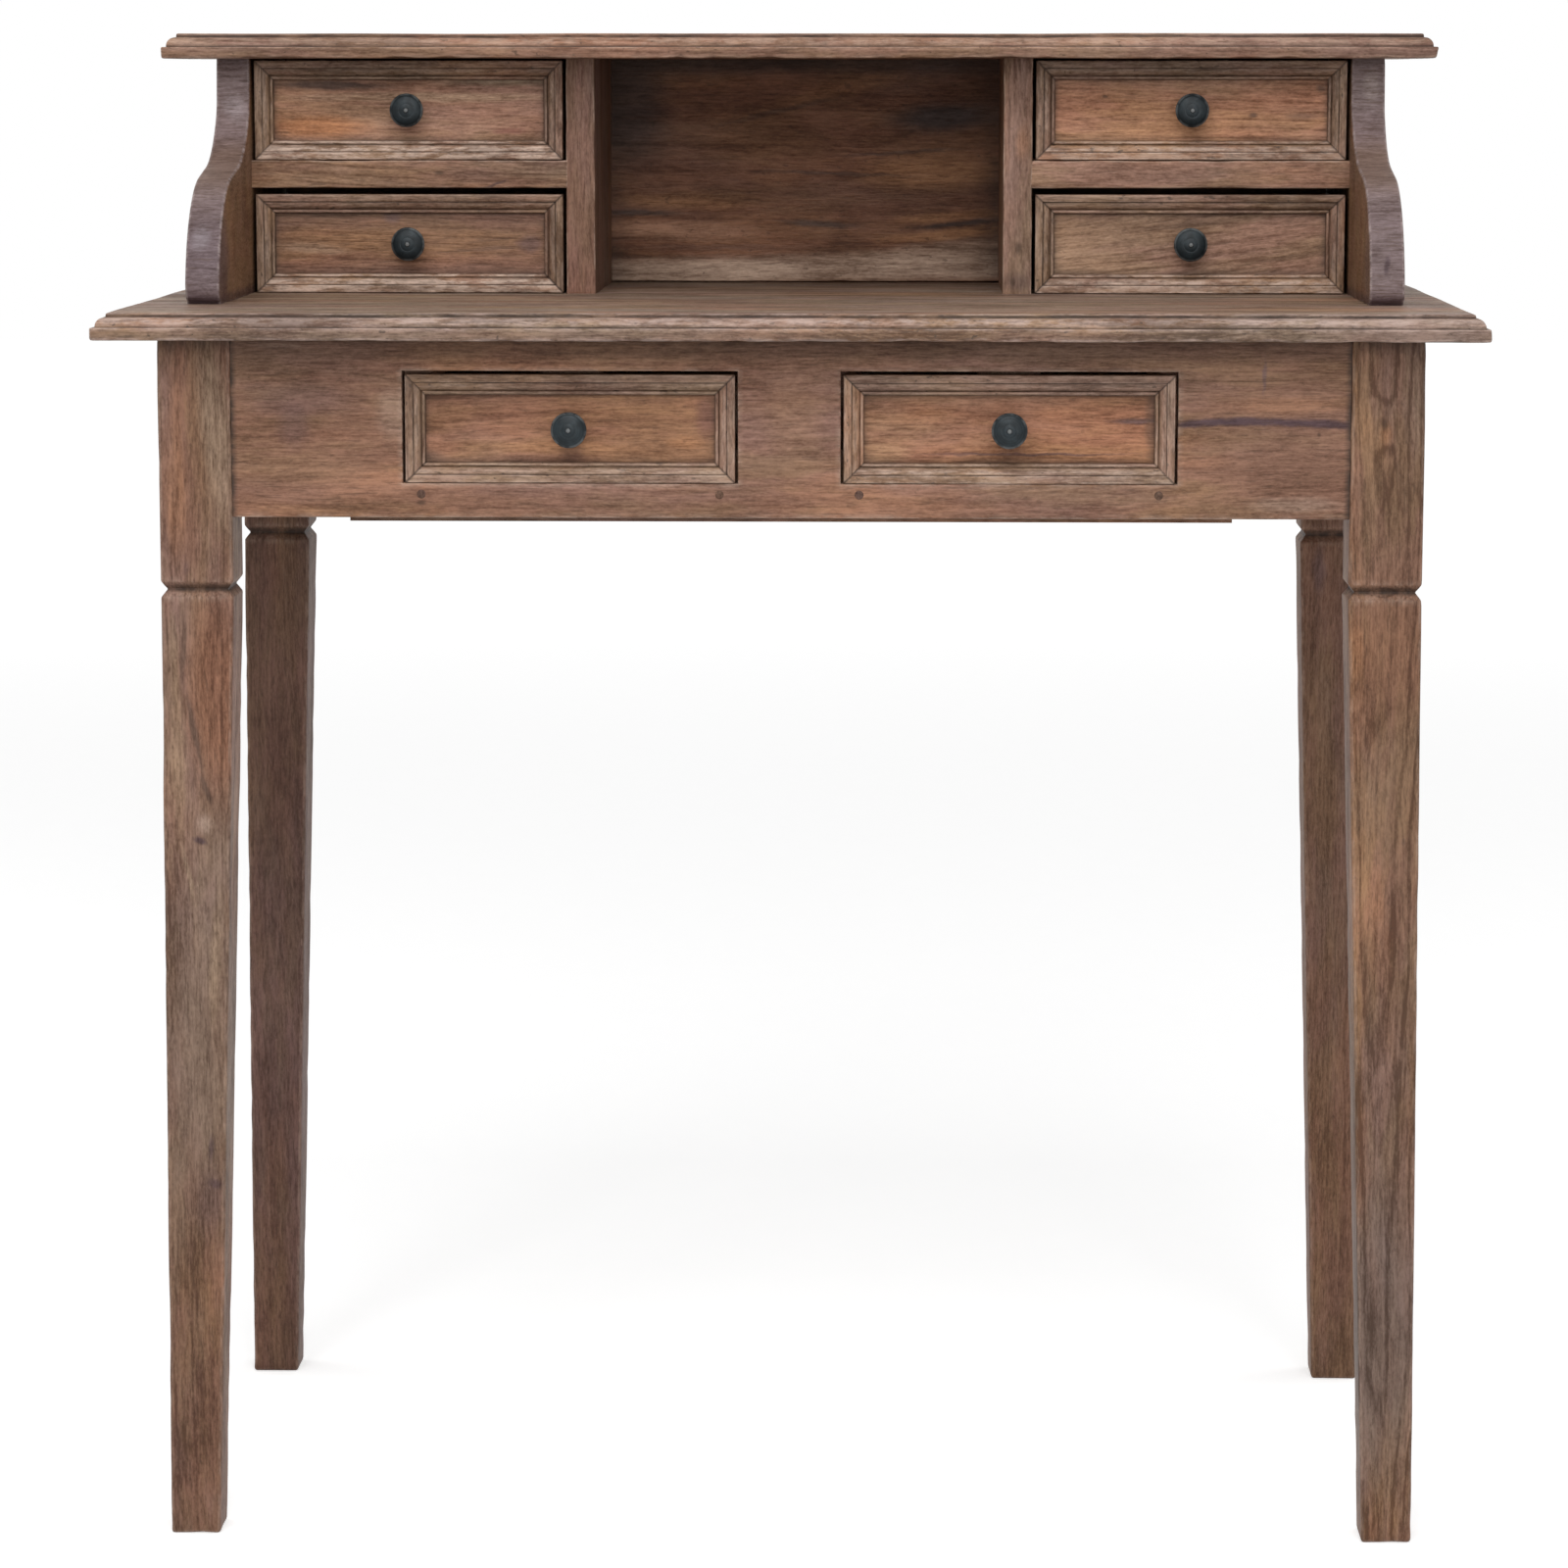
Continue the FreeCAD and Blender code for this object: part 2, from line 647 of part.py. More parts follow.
def knob(name):
    """A turned iron knob about the Y axis, with a shank that screws into the drawer front."""
    rim = "moulding_height - knob_projection + knob_nipple_height + knob_dome"
    crown = "moulding_height - knob_projection + knob_nipple_height"
    under = f"{rim} + knob_head"
    profile = [
        ("0", "moulding_height + knob_shank_depth"),
        ("knob_shank / 2", "moulding_height + knob_shank_depth"),
        ("knob_shank / 2", "moulding_height"),
        ("knob_rose / 2", "moulding_height"),
        ("knob_rose / 2", "moulding_height - knob_rose_height"),
        ("knob_neck / 2", "moulding_height - 2 * knob_rose_height", "0 - knob_neck_hollow"),
        ("knob_neck / 2 + knob_neck_hollow", under),
        ("knob_diameter / 2 - knob_rim_bulge", f"{rim} + knob_rim", "knob_rim_bulge"),
        ("knob_diameter / 2 - knob_rim_bulge", rim, "knob_dome_bulge"),
        ("knob_nipple / 2", crown),
        ("knob_nipple / 2", f"{crown} - knob_nipple_height"),
        ("0", f"{crown} - knob_nipple_height"),
    ]
    body = doc.addObject("PartDesign::Body", name)
    sketch = outline(body, name + "_profile", "XY_Plane", profile)
    turned = body.newObject("PartDesign::Revolution", name + "_turned")
    turned.Profile = sketch
    turned.ReferenceAxis = (sketch, ["V_Axis"])
    turned.Angle = 360
    body.Tip = turned
    return body


def drawer_front(name, wide, high, half):
    """The flat board of a drawer front, rebated for the sides and grooved for the bottom."""
    back = "moulding_height + front_thickness"
    low = (f"0 - ({wide}) / 2", "moulding_height", "0")
    board = block(name + "_board", low, (wide, "front_thickness", high))
    ends = []
    for hand, side in BOTH_SIDES:
        near = f"{half} - side_thickness" if side > 0 else f"0 - ({wide}) / 2"
        low = (near, f"{back} - side_rebate", "0")
        size = ("side_thickness + side_inset", "side_rebate", high)
        ends.append(block(f"{name}_rebate_{hand}", low, size))
    groove_low = (f"0 - ({half}) + side_thickness", f"{back} - bottom_groove", "bottom_height")
    groove_size = (f"2 * ({half} - side_thickness)", "bottom_groove", "bottom_thickness")
    groove = block(name + "_groove", groove_low, groove_size)
    hole_foot = ("0", "moulding_height", f"({high}) / 2")
    hole = rod(name + "_hole", "knob_shank + 2 * knob_shank_slack",
               "knob_shank_depth + knob_shank_slack", hole_foot, Vector(0, 1, 0))
    return cut(name + "_cut", board, group(name + "_cuts", ends + [groove, hole]))


def drawer_sides(name, half, tall, deep):
    """Both sides of a drawer, each with a groove for the bottom."""
    sides = []
    start = "moulding_height + front_thickness - side_rebate"
    for hand, side in BOTH_SIDES:
        near = f"{half} - side_thickness" if side > 0 else f"0 - ({half})"
        size = ("side_thickness", f"{deep} - ({start})", tall)
        board = block(f"{name}_{hand}_board", (near, start, "0"), size)
        inner = near if side > 0 else f"0 - ({half}) + side_thickness - bottom_groove"
        groove_size = ("bottom_groove", f"{deep} - ({start})", "bottom_thickness")
        groove = block(f"{name}_{hand}_groove", (inner, start, "bottom_height"), groove_size)
        sides.append(cut(f"{name}_{hand}", board, groove))
    return group(name + "_pair", sides)


def drawer_back(name, half, tall, deep):
    """The back of a drawer, between the sides and on top of the bottom board."""
    foot = "bottom_height + bottom_thickness"
    low = (f"0 - ({half}) + side_thickness", f"{deep} - drawer_back_thickness", foot)
    size = (f"2 * ({half} - side_thickness)", "drawer_back_thickness", f"{tall} - ({foot})")
    return block(name + "_board", low, size)


def drawer_bottom(name, half, deep):
    """The thin bottom board, held in the grooves of the sides and the front."""
    start = "moulding_height + front_thickness - bottom_groove"
    inside = f"({half} - side_thickness)"
    middle_low = (f"0 - {inside}", start, "bottom_height")
    middle = block(name + "_middle", middle_low, (f"2 * {inside}", f"{deep} - ({start})", "bottom_thickness"))
    behind = "moulding_height + front_thickness"
    wide_low = (f"0 - {inside} - bottom_groove", behind, "bottom_height")
    wide_size = (f"2 * ({inside} + bottom_groove)", f"{deep} - ({behind})", "bottom_thickness")
    return joined(name + "_board", [middle, block(name + "_tongues", wide_low, wide_size)])


def drawer_moulding(name, wide, high):
    """Four mitred strips round a drawer front."""
    strips = []
    for edge, length, turn, place in (
            ("lower", wide, 0, ("0", "0")),
            ("upper", wide, 180, ("0", high)),
            ("left", high, 90, (f"0 - ({wide}) / 2", f"({high}) / 2")),
            ("right", high, -90, (f"({wide}) / 2", f"({high}) / 2"))):
        bar = strip(f"{name}_{edge}", length)
        bar.Placement.Rotation = FreeCAD.Rotation(Vector(0, 1, 0), turn)
        strips.append(bind(bar, Base_x=place[0], Base_z=place[1]))
    return group(name + "_strips", strips)


def drawer(name, wide, high, tall, deep, place):
    """A whole drawer, built about the foot of its front face and then set in its place."""
    half = f"(({wide}) / 2 - side_inset)"
    pieces = {
        "front": drawer_front(name + "_front", wide, high, half),
        "moulding": drawer_moulding(name + "_moulding", wide, high),
        "sides": drawer_sides(name + "_sides", half, tall, deep),
        "back": drawer_back(name + "_back", half, tall, deep),
        "bottom": drawer_bottom(name + "_bottom", half, deep),
    }
    for piece, thing in pieces.items():
        placed = group(f"{name}_{piece}_placed", [thing])
        bind(placed, Base_x=place[0], Base_y=place[1], Base_z=place[2])
        node(placed, f"{name}_{piece}")
    handle = knob(name + "_knob_turned")
    bind(handle, Base_x=place[0], Base_y=place[1], Base_z=f"{place[2]} + ({high}) / 2")
    node(handle, f"{name}_knob")


def drawers():
    """Two drawers in the front apron, and four in the hutch."""
    for hand, side in BOTH_SIDES:
        place = (f"{side} * opening_offset", "apron_front", "sill + drawer_lift")
        drawer(f"desk_drawer_{hand}", "desk_front_width", "desk_drawer_front_height",
               "desk_drawer_side_height", "desk_drawer_length", place)
        for level, foot in (("lower", "desk_height"), ("upper", "mid_shelf_level")):
            place = (f"{side} * compartment_middle", "hutch_front", f"{foot} + drawer_lift")
            drawer(f"hutch_drawer_{level}_{hand}", "hutch_front_width", "hutch_drawer_front_height",
                   "hutch_drawer_side_height", "hutch_drawer_length", place)


def check_and_write():
    """Refuse a failed object or a bad shape, then write one STEP file for each sub-part."""
    doc.recompute()
    for thing in doc.Objects:
        if "Invalid" in thing.State or "Error" in thing.State:
            raise RuntimeError(f"{thing.Name} failed: {thing.State}")
    for thing in nodes:
        if thing.Shape.isNull() or not thing.Shape.isValid():
            raise RuntimeError(f"{thing.Label} has no valid shape")
    os.makedirs("parts", exist_ok=True)
    for thing in nodes:
        thing.Shape.exportStep(f"parts/{thing.Label}.step")


sheet = fill_sheet()
dowel_holes = dowel_set("dowel_holes", "dowel_diameter + 2 * dowel_slack", "dowel_slack")
peg_holes = peg_set("peg_holes", "peg_slack")
desk_top()
legs()
aprons()
drawer_supports()
hutch()
node(dowel_set("joint_dowels", "dowel_diameter", "0"), "joint_dowels")
drawers()
check_and_write()
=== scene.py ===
"""Looks of a bonheur du jour: a small writing desk of worn, waxed hardwood with iron knobs.

Metres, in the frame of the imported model: X across to the right, Y back from the front, Z up.
Joinery places, knots and marks are in millimetres, and so are numbers next to MM or in mm()."""
from math import pi, radians

import bmesh
import bpy
import numpy as np
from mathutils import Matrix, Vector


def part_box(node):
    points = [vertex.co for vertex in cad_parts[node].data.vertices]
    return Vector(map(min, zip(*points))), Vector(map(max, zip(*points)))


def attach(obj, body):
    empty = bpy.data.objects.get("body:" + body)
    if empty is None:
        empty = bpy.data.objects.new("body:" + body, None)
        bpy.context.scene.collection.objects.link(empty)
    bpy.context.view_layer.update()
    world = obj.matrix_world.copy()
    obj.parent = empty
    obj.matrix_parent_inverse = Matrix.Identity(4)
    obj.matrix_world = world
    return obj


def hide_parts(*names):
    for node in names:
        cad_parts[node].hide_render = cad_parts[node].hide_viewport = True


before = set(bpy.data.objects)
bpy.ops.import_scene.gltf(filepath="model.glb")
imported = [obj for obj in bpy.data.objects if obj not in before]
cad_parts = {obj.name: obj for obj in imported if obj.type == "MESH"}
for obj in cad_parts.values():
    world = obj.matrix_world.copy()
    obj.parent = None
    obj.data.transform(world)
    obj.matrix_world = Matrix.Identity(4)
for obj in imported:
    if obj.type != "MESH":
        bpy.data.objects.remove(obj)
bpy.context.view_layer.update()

MM = 0.001
CARCASS = "carcass"
HANDS = (("left", -1), ("right", 1))

# Cheeks of the legs from the middle of the desk, and the faces of the front and back legs.
LEG_OUTER, LEG_INNER = 403, 356
FORE, FORE_END, AFT_START, AFT = -206, -159, 179, 226
# Front faces of the apron, the panels of desk and hutch drawers, the hutch and its back panel.
APRON_FACE, DESK_PANEL, HUTCH_PANEL, HUTCH_FACE, BACK_PANEL = -204, -199, 50, 45, 225
DESK_DRAWER = 139.75  # from the middle of the desk to the middle of a desk drawer
LIGHT_WEAR = (0.004, 0.0007, 0.0002)  # reach in from the faces, depth of dents, depth of ripples
CHIP, SPLINTER, SWELL = 0.034, 0.011, 0.15  # lengths of the waves of wear
LIP = 0.003  # width of the narrow row of cells along an edge


# -------- surfaces

def mm(*values):
    """Millimetres as an array of metres."""
    return np.array(values) * MM


def chain(*parts):
    """Arrays or lists one after another, as one array."""
    return np.concatenate(parts)


def fade(gap, reach):
    """1 at no gap and evenly down to 0 at the reach."""
    return np.clip(1 - gap / reach, 0, 1)


def unit(ways):
    """Rows scaled to a length of 1."""
    return ways / np.linalg.norm(ways, axis=1, keepdims=True)


def box(node):
    """The lowest and the highest corner of a node."""
    return [np.array(corner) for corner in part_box(node)]


def smooth_noise(points, seed, wave):
    """Six sine waves of random direction and phase, averaged: about -1 to 1, bumps a wave long."""
    rng = np.random.default_rng(seed)
    ways = unit(rng.normal(size=(6, 3)))
    ways *= 2 * pi / wave * rng.uniform(0.6, 1.5, (6, 1))
    return np.sin(points @ ways.T + rng.uniform(0, 2 * pi, 6)).mean(-1) * 1.8


def worn(points, low, high, seed, reach, dent, ripple):
    """Points drawn inwards where they lie near the faces low and high of their board.

    near = 1 - gap / reach on each axis, not under 0. The way in is near times
    (dent * second largest near * chips + ripple * swell), with chips and swell smooth noise."""
    near = fade(np.minimum(points - low, high - points), reach)
    second = np.sort(near, axis=-1)[..., 1:2]
    chips = smooth_noise(points, seed, CHIP) + 0.6 * smooth_noise(points, seed + 1, SPLINTER)
    swell = 0.5 + 0.5 * smooth_noise(points, seed + 2, SWELL)
    way_in = (dent * second * np.clip(chips, 0, 1)[..., None]
              + ripple * np.clip(swell, 0, 1)[..., None])
    return points - np.sign(points - (low + high) / 2) * near * way_in


def spaced(length, step, lip):
    """Fractions from 0 to 1 about a step apart, with one more a lip inside each end."""
    inner = np.linspace(lip / length, 1 - lip / length, max(2, int(length / step)))
    return chain([0.0], inner, [1.0])


def arc(start, end, bulge, count):
    """Points of a circle arc from start to end that stands off its chord by bulge, to the left."""
    start, end = np.array(start, float), np.array(end, float)
    chord = np.linalg.norm(end - start)
    radius = (chord ** 2 / 4 + bulge ** 2) / (2 * abs(bulge))
    half = np.arcsin(chord / 2 / radius)
    along = (end - start) / chord
    left = np.array([-along[1], along[0]]) * np.sign(bulge)
    centre = (start + end) / 2 - left * (radius - abs(bulge))
    angle = np.linspace(-half, half, count)[:, None]
    return centre + radius * (np.sin(angle) * along + np.cos(angle) * left)


def sheet(points, edge=0.0, hollow=0.0, grain=None, tint=0.0, keep=None):
    """One grid of a skin, and of each point how much it is an arris, a hollow or tinted.

    grain is where the point lies in the timber. keep says which cells of the grid are faces."""
    flat = points[..., 0] * 0
    return {"points": points, "edge": flat + edge, "hollow": flat + hollow, "tint": flat + tint,
            "grain": points if grain is None else grain,
            "keep": np.ones((len(points) - 1, points.shape[1] - 1), bool) if keep is None else keep}


def welded(sheets, loops):
    """Grids and end loops as one shell: the values of its points, and its faces.

    Two points are one where they agree to a micrometre. A quad with two such corners becomes a
    triangle."""
    faces, start = [], 0
    for grid in sheets:
        rows, columns = grid["points"].shape[:2]
        index = start + np.arange(rows * columns).reshape(rows, columns)
        cells = np.stack([index[:-1, :-1], index[:-1, 1:], index[1:, 1:], index[1:, :-1]], -1)
        faces.append(cells[grid["keep"]])
        start += rows * columns
    quads = chain(*faces)
    used = np.unique(chain(quads.ravel(), *loops))
    quads, loops = np.searchsorted(used, quads), [np.searchsorted(used, loop) for loop in loops]
    values = {key: chain(*(grid[key].reshape(-1, *grid[key].shape[2:]) for grid in sheets))[used]
              for key in ("points", "edge", "hollow", "tint", "grain")}
    micrometres = np.round(values["points"] / (MM / 1000)).astype(np.int64)
    _, first, same = np.unique(micrometres, axis=0, return_index=True, return_inverse=True)
    same = same.ravel()
    quads = same[quads]
    twin = quads == np.roll(quads, -1, axis=1)
    once = twin.sum(1) == 1
    triangles = quads[once][~twin[once]].reshape(-1, 3)
    ends = [same[loop].tolist() for loop in loops]
    return ({key: value[first] for key, value in values.items()},
            quads[~twin.any(1)].tolist() + triangles.tolist() + ends)


def placed(name, data):
    """A new object in the scene that holds the data."""
    holder = bpy.data.objects.new(name, data)
    bpy.context.collection.objects.link(holder)
    return holder


def skin(name, sheets, timber, body, node, loops=()):
    """A closed mesh made of grids and end loops, set in the node's place on its body."""
    values, faces = welded(sheets, loops)
    mesh = bpy.data.meshes.new(name)
    mesh.from_pydata(values["points"].tolist(), [], faces)
    for key in ("edge", "hollow", "tint"):
        mesh.attributes.new(key, "FLOAT", "POINT").data.foreach_set(
            "value", values[key].astype(np.float32))
    mesh.attributes.new("grain", "FLOAT_VECTOR", "POINT").data.foreach_set(
        "vector", values["grain"].astype(np.float32).ravel())
    shell = bmesh.new()
    shell.from_mesh(mesh)
    bmesh.ops.recalc_face_normals(shell, faces=shell.faces)
    shell.to_mesh(mesh)
    shell.free()
    mesh.shade_smooth()
    mesh.set_sharp_from_angle(angle=radians(38))
    mesh.materials.append(timber)
    piece = placed(name, mesh)
    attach(piece, body)
    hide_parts(node)


def ring(x0, x1, y0, y1, bend, along, across):
    """Rounded rectangles, one a row: four straight sides, each followed by a quarter circle.

    Gives X, Y and 1 on the corners, 0 on the sides."""
    x0, x1, y0, y1, bend = (np.asarray(v, float)[:, None] for v in (x0, x1, y0, y1, bend))
    turn = np.linspace(0, pi / 2, 6)[1:-1]
    wide, deep = x1 - x0 - 2 * bend, y1 - y0 - 2 * bend

    def corner(cx, cy, quarter):
        angle = quarter * pi / 2 + turn
        return cx + bend * np.cos(angle), cy + bend * np.sin(angle)

    runs = [(x0 + bend + wide * along, y0), corner(x1 - bend, y0 + bend, 3),
            (x1, y0 + bend + deep * across), corner(x1 - bend, y1 - bend, 0),
            (x1 - bend - wide * along, y1), corner(x0 + bend, y1 - bend, 1),
            (x0, y1 - bend - deep * across), corner(x0 + bend, y0 + bend, 2), (x0 + bend, y0)]
    runs = [np.broadcast_arrays(*run) for run in runs]
    corners = chain(*(np.full(x.shape[1], float(x.shape[1] == len(turn))) for x, _ in runs))
    x, y = (np.concatenate(part, 1) for part in zip(*runs))
    return x, y, corners


def eased(thickness, radius, lip):
    """Insets and heights of a square edge with rounded arrises, from the lower face to the upper.

    Quarter circles: inset = radius (1 - sin a), height = radius (1 - cos a). Also 1 on an arris."""
    angle = np.linspace(0, pi / 2, 5)
    inset = chain([radius + lip], radius * (1 - np.sin(angle)))
    height = chain([0.0], radius * (1 - np.cos(angle)))
    arris = chain([0.0], np.sin(2 * angle) ** 0.5)
    inset = chain(inset, [0.0], [0.0], inset[::-1])
    height = chain(height, [radius + lip], [thickness - radius - lip], thickness - height[::-1])
    arris = chain(arris, [0.0], [0.0], arris[::-1])
    return inset, height, arris


def tower(name, faces, inset, height, timber, body, node, order=(0, 1, 2), back_inset=None,
          bend=0.0, arris=0.0, hollow=0.0, step=0.012, wear=LIGHT_WEAR, seed=1,
          dirt_and_shade=lambda points: 0.0):
    """A board or leg as rounded rectangles stacked along its height, closed by two flat grids.

    faces are the four side planes of each ring, which is drawn inside them by its inset. order puts
    the ring's two axes and the height on the world's axes. The last argument gives how dark a place
    is painted, by soiling and by painted shade."""
    x0, x1, y0, y1 = (np.zeros_like(height) + plane for plane in faces)
    back_inset = inset if back_inset is None else back_inset
    arris, hollow = np.zeros_like(height) + arris, np.zeros_like(height) + hollow
    along = spaced(np.ptp([x0.min(), x1.max()]), step, LIP)
    across = spaced(np.ptp([y0.min(), y1.max()]), step, LIP)
    x, y, corner = ring(x0 + inset, x1 - inset, y0 + inset, y1 - back_inset,
                        np.clip(bend - inset, 0, None), along, across)
    low = np.stack([x0, y0, np.full_like(x0, height.min())], -1)[:, None]
    high = np.stack([x1, y1, np.full_like(x0, height.max())], -1)[:, None]
    order = list(order)
    wall = np.stack([x, y, x * 0 + height[:, None]], -1)
    wall = worn(wall, low, high, seed, *wear)[..., order]
    sheets = [sheet(wall, np.maximum(arris[:, None], corner),
                    np.maximum(hollow[:, None] + x * 0, dirt_and_shade(wall)))]
    for end in (0, -1):
        cap = np.stack(np.meshgrid(
            x0[end] + inset[end] + (x1[end] - x0[end] - 2 * inset[end]) * along,
            y0[end] + inset[end] + (y1[end] - back_inset[end] - y0[end] - inset[end]) * across,
            [height[end]], indexing="ij"), -1)[:, :, 0]
        cap = worn(cap, low[end], high[end], seed, *wear)[..., order]
        sheets.append(sheet(cap, hollow=dirt_and_shade(cap)))
    skin(name, sheets, timber, body, node)


def plain_board(node, timber, thick_axis, seed, shoulders=None, let_in=None):
    """A square board with eased arrises that fills the node's box. thick_axis is its thin way.

    shoulders are an axis and the two places on it where the board ends and its tenons start. let_in
    is an axis on which the ends go a little way into the neighbours, so that no light shows."""
    radius, depth_in = 1.2 * MM, 1.5 * MM
    low, high = box(node)
    if shoulders is not None:
        axis, start, end = shoulders
        low[axis], high[axis] = start * MM, end * MM
    if let_in is not None:
        low[let_in], high[let_in] = low[let_in] - depth_in, high[let_in] + depth_in
    wide, deep = [axis for axis in range(3) if axis != thick_axis]
    inset, height, arris = eased(high[thick_axis] - low[thick_axis], radius, LIP)
    order = [0, 0, 0]
    order[wide], order[deep], order[thick_axis] = 0, 1, 2
    faces = (low[wide], high[wide], low[deep], high[deep])
    tower(node + "_worn", faces, inset, height + low[thick_axis], timber, CARCASS, node, order,
          bend=radius, arris=arris, seed=seed)


def moulded_top(node, timber, seed):
    """A board moulded on its front and both ends.

    From below: a square band, a ledge, an ovolo (a circle arc) and a small step up to the flat."""
    low, high = box(node)
    thick = high[2] - low[2]
    ledge, step_foot = thick - 9.2 * MM, thick - 2.5 * MM
    ovolo = arc((3.2 * MM, ledge + 0.3 * MM), (9.1 * MM, step_foot), 1.9 * MM, 9)
    inset = chain(mm(6, 2.2, 0.9, 0.25, 0, 0, 0, 0.3, 1.1, 2.4, 3.1), ovolo[:, 0],
                  mm(9.35, 9.4, 9.6, 10.2, 11.2, 15))
    height = chain(mm(0, 0, 0.25, 0.9, 2.2), ledge + mm(-3, -1, -0.25, 0, 0, 0.1), ovolo[:, 1],
                   step_foot + mm(0.1, 1.2, 2.1, 2.45, 2.5, 2.5))
    arris = chain([0, 0.3, 1, 1, 0.2, 0, 0.4, 1, 0.7, 0, 0], np.sin(np.linspace(0.2, 2.7, 9)),
                  [0, 0.2, 0.9, 1, 0.5, 0])
    # Darkening along the profile's steps and quirks: soiling and painted shade.
    hollow = chain([0.7, 0.5, 0.3, 0.1, 0.28, 0.28, 0.1, 0, 0.2, 1, 1],
                   [0.8, 0.2, 0, 0, 0, 0, 0, 0.2, 0.8], [1, 0.9, 0.1, 0, 0, 0])
    back = np.clip(1.2 * MM - np.minimum(height, thick - height), 0, None)
    back[[0, -1]] = 6 * MM
    tower(node + "_worn", (low[0], high[0], low[1], high[1]), inset, height + low[2], timber,
          CARCASS, node, back_inset=back, bend=0.9 * MM, arris=arris, hollow=hollow, step=0.008,
          seed=seed, wear=(0.011, 0.001, 0.0004))


def leg(node, timber, seed):
    """A square leg with a V groove round it and two tapered inner faces below the groove.

    A face lies at its top place plus its way out or in times (1 - height / height of the taper)."""
    _, end, hand = node.split("_")
    top, groove, splay, taper = box(node)[1][2], 626 * MM, 5 * MM, 14 * MM
    z = chain(mm(0, 0, 0.4, 1.2, 2.5, 6), np.linspace(0.012, 0.6, 46),
              groove + mm(-9, -6.2, -5.3, -4.6, -2.5, -0.4, 0.4, 2.5, 4.6, 5.3, 6.2, 9),
              np.linspace(0.65, top - 0.01, 12), top - mm(3, 1, 0))
    cut = np.interp(z, groove + mm(-6.2, -5.3, -4.6, -0.4, 0.4, 4.6, 5.3, 6.2),
                    mm(0, 0.12, 0.5, 3.9, 3.9, 0.5, 0.12, 0))
    foot = np.interp(z, mm(0, 0.4, 1.2, 2.5), mm(1.8, 0.8, 0.25, 0))
    inset = np.maximum(cut, foot)
    inset[[0, -1]] = 5 * MM
    arris = np.interp(z, groove + mm(-8, -5.3, -4.2, -2, 2, 4.2, 5.3, 8),
                      [0, 1, 0.8, 0.5, 0, 0, 1, 0])
    arris[1:4] = 1
    # Darkening in the V groove is soiling and painted shade; the top 10 mm, under the desk top,
    # take painted shade.
    hollow = np.interp(z, groove + mm(-1.5, -0.4, 0.4, 3, 4.6), [0, 1, 1, 0.7, 0])
    hollow = np.maximum(hollow, np.interp(z, [top - 0.01, top], [0, 0.8]))
    down = fade(z, 620 * MM)
    outer, inner = LEG_OUTER * MM + splay * down, LEG_INNER * MM + (splay + taper) * down
    x0, x1 = (inner, outer) if hand == "right" else (-outer, -inner)
    if end == "front":
        y0, y1 = FORE * MM, FORE_END * MM - taper * down
    else:
        y0, y1 = AFT_START * MM + taper * down, AFT * MM
    tower(node + "_worn", (x0, x1, y0, y1), inset, z, timber, CARCASS, node, bend=2.4 * MM,
          arris=arris, hollow=hollow, seed=seed, wear=(0.006, 0.0007, 0.00025))


